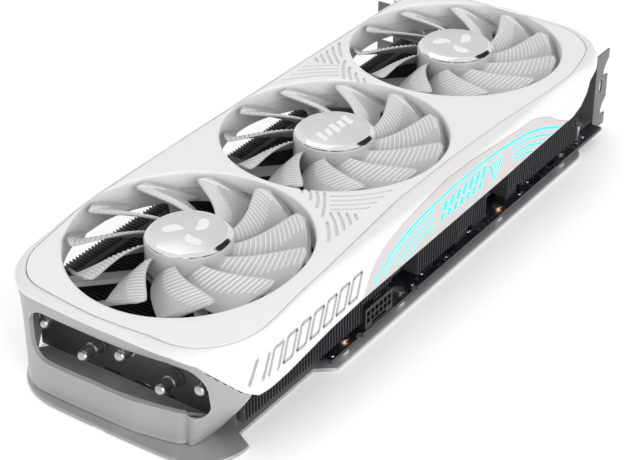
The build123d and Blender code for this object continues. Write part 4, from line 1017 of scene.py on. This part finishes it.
back = Shell()
tail_end, head_end = plate_low[0] + 0.8, plate_high[0]
back_ring = bowed_box((tail_end, head_end), (plate_low[1], plate_high[1]), (21, 30), (12, 10),
                      (1.4, 1.5), 14, 40)
plate(back, back_ring, 0.0, 1.5, 0.5, 4)
back_piece = piece("back_plate", back, BACK, stands_for=["backplate"])
holes = Shell()
low, board_tail, board_head, EDGE_Y = plate_low[1], board_low[0], board_high[0], board_low[1]
plate(holes, [
    (TAIL + 25, LED - 2), (board_tail + 4, LED - 2), (board_tail + 4, low),
    (board_tail - 2, low + 7.5), (TAIL + 29.5, low + 7.5), (TAIL + 25.6, low),
], -1, 3)
SLOTS, SLOT_STEP, SLOT_HALF, SLOT_W, SLOT_LEAN = 7, 6.0, 24.5, 3.0, math.radians(-20)
along = np.array([-math.sin(SLOT_LEAN), math.cos(SLOT_LEAN)]) * SLOT_HALF
for k in range(SLOTS):
    mid = np.array([TAIL + 34 + k * SLOT_STEP, FAN_Y])
    plate(holes, ribbon([mid - along, mid, mid + along], SLOT_W, 7), -1, 3)
near, far = EDGE_Y + 4.4, float(board_high[1]) - 8.3 - 6.0
tails = [board_tail + 14, board_tail + 54.5, board_head - 91.5, board_head - 34]
screw_spots = [(x, near) for x in tails]
screw_spots += [(x, far) for x in (tails[0], tails[1], tails[3] - 40, tails[3])]
SCREW_HOLE_R, POST_R, BOARD_UNDER = 1.5, 2.6, 5.4
for spot in screw_spots:
    plate(holes, arc(spot, SCREW_HOLE_R, 0, 2 * np.pi, 24, endpoint=False), -1, 3)
cut(back_piece, holes, "backplate_openings")
posts = Shell()
tube = [(SCREW_HOLE_R, 1.5), (POST_R, 1.5), (POST_R, BOARD_UNDER), (SCREW_HOLE_R, BOARD_UNDER)]
for spot in screw_spots:
    posts.lathe(tube, spot, 32)
piece("backplate_standoffs", posts, BACK)

# %% [markdown]
# ## Details on the board
# Copper rings, plated half holes on the edge, small passives and solder dots are what makes a
# board read as real. Each is a few faces, so thousands of points are never needed.

# %% Board rings, passives and screws
BOARD_TOP, COPPER_TOP = 7.0, 7.06
rings_at = [(-65.7, -56.4), (-26.1, -53.5), (54.5, -56.4)]
half_rings_at = [(board_tail + 20, EDGE_Y), (board_tail + 60.5, EDGE_Y)]
copper = Shell()
flat_ring = [(1.6, BOARD_TOP), (2.9, BOARD_TOP), (2.9, COPPER_TOP), (1.6, COPPER_TOP)]
for spot in rings_at:
    copper.lathe(flat_ring, spot, 40)
for spot in half_rings_at:
    half_ring = np.vstack([arc(spot, 2.5, 0, np.pi, 18), arc(spot, 1.62, np.pi, 0, 18)])
    plate(copper, half_ring + (0, 0.02), BOARD_TOP, COPPER_TOP)
piece("board_copper", copper, COPPER)

dots = Shell()
dome = [(0.01, BOARD_TOP), (0.95, BOARD_TOP), (0.8, 7.22), (0.4, 7.34), (0.01, 7.36)]
for spot in (
    (132.1, -56.6), (-77.2, -57.8), (81.2, -55.3), (-18, -56.8), (-9, -55.6), (8, -57.4),
    (30, -54.8), (70, -57.5), (98, -55.8),
):
    dots.lathe(dome, spot, 20)
piece("solder_dots", dots, TIN)

seeds = np.random.default_rng(11)
passives, ends = Shell(), Shell()


def block(shell, x0, x1, y0, y1, top):
    """A plain little block on the board, for parts a millimetre or two across."""
    plate(shell, [(x0, y0), (x1, y0), (x1, y1), (x0, y1)], BOARD_TOP, top)


PART_STEP, PART_TOP, END_W = 3.7, 7.55, 0.2
headers_x = (board_head - 124.0, board_head - 81.3)
for x in np.arange(-58, 138, PART_STEP):
    for row in range(2):
        y = EDGE_Y + 1.6 + row * 2.3 + seeds.uniform(-0.3, 0.3)
        px = x + seeds.uniform(-0.9, 0.9)
        near_ring = any(math.hypot(px - sx, y - sy) < 4.2 for sx, sy in rings_at + half_rings_at)
        headers = any(abs(px - h) < 7 for h in headers_x)
        socket = abs(px - (board_tail + 33.5)) < 12
        if near_ring or headers or socket or px > 128 or seeds.uniform() < 0.35:
            continue
        w, d = (1.6, 0.8) if seeds.uniform() < 0.5 else (0.8, 1.6)
        x0, x1, y0, y1 = px - w / 2, px + w / 2, y - d / 2, y + d / 2
        block(passives, x0 + END_W, x1 - END_W, y0, y1, PART_TOP)
        block(ends, x0, x0 + END_W - 0.01, y0, y1, PART_TOP - 0.03)
        block(ends, x1 - END_W + 0.01, x1, y0, y1, PART_TOP - 0.03)
piece("small_parts", passives, CHIP)
piece("small_part_ends", ends, TIN)

# %% Screw, post, peg and pipe collars
FLANGE_TOP = 9.46
pan_at = span("bracket_screws")[0][:2] + 3.1
crown = [(0.01, FLANGE_TOP), (0.01, 9.9), (1.6, 9.86), (2.5, 9.62), (3.0, FLANGE_TOP)]
piece("pan_screw_crown", Shell().lathe(crown, pan_at, 40), STEEL)
pin = [(0.01, BOARD_TOP), (1.3, BOARD_TOP), (1.3, 8.7), (1.0, 9.0), (0.01, 9.0)]
piece("board_peg", Shell().lathe(pin, (121.4, -51.0), 28), WHITE)

collars = Shell()
COLLAR_Z = 20.8
COLLAR = ((-135.7, 3.05), (-136.7, 3.05), (-136.7, 3.4), (-136.4, 3.65), (-135.7, 3.7))
for pipe in ("heat_pipe_2", "heat_pipe_4"):
    low, high = span(pipe)
    centre = ((low[1] + high[1]) / 2, COLLAR_Z)
    circle = lambda r: arc(centre, r, 0, 2 * np.pi, 36, endpoint=False)
    rows = [np.insert(circle(r), 0, x, axis=1) for x, r in COLLAR]
    collars.grid(np.array(rows), wrap_u=True, wrap_v=True)
piece("pipe_collars", collars, SHADE)

# %% [markdown]
# ## Stage, light and camera
# A pale floor, a bright sky with one dark patch that the chrome rings can mirror, and two large
# soft lamps. The camera looks down from beyond the tail, on the lit side.

# %% World, lamps and camera
bpy.ops.mesh.primitive_plane_add(size=8, location=(0, 0, -0.0002))
floor_plane = bpy.context.object
floor_plane.name = "floor"
floor_finish = Finish("pale floor")
cloudy = floor_finish.mix(floor_finish.noise(3, 2.0), grey(0.93), grey(0.95))
floor_finish.set(Base_Color=cloudy, Roughness=0.9)
floor_finish.set(Emission_Color=(1, 1, 1, 1), Emission_Strength=0.22)
floor_plane.data.materials.append(floor_finish.material)

world = bpy.context.scene.world or bpy.data.worlds.new("sky")
bpy.context.scene.world = world
world.use_nodes = True
tree = world.node_tree
tree.nodes.clear()
kinds = ("TexCoord", "VectorMath", "MapRange", "Background", "OutputWorld")
place, spot, ramp, sky, out = (tree.nodes.new("ShaderNode" + kind) for kind in kinds)
DARK_TOWARDS, DARK_FROM, DARK_TO, SKY, DARK = (0.70, -0.37, 0.61), 0.925, 0.955, 0.86, 0.03
spot.operation = "DOT_PRODUCT"
spot.inputs[1].default_value = Vector(DARK_TOWARDS).normalized()
for key, value in {1: DARK_FROM, 2: DARK_TO, 3: SKY, 4: DARK}.items():
    ramp.inputs[key].default_value = value
sky.inputs[0].default_value = (1, 1, 1, 1)
for a, b in (
    (place.outputs["Generated"], spot.inputs[0]), (spot.outputs["Value"], ramp.inputs[0]),
    (ramp.outputs[0], sky.inputs[1]), (sky.outputs[0], out.inputs[0]),
):
    tree.links.new(a, b)


def lamp(name, place, target, size, watts):
    """A square soft lamp aimed at a point."""
    light = bpy.data.lights.new(name, "AREA")
    light.size, light.energy = size, watts
    thing = bpy.data.objects.new(name, light)
    thing.location = place
    ray = Vector(target) - Vector(place)
    thing.rotation_euler = ray.to_track_quat("-Z", "Y").to_euler()
    bpy.context.collection.objects.link(thing)
    return thing


lamp("key", (-0.45, -1.1, 0.5), (0, 0, 0), 0.8, 7.0)
lamp("top", (0.1, 0.5, 1.3), (0, 0, 0), 1.0, 2.0)

eye = bpy.data.cameras.new("eye")
eye.lens, eye.sensor_width, eye.sensor_fit = 103.1, 36.0, "HORIZONTAL"
eye.clip_start, eye.clip_end = 0.01, 20.0
camera = bpy.data.objects.new("eye", eye)
camera.location = (-0.5383, -0.3652, 0.4051)
camera.rotation_euler = (math.radians(58.33), 0.0, math.radians(-55.52))
bpy.context.collection.objects.link(camera)
bpy.context.scene.camera = camera
bpy.context.scene.view_settings.view_transform = "Standard"
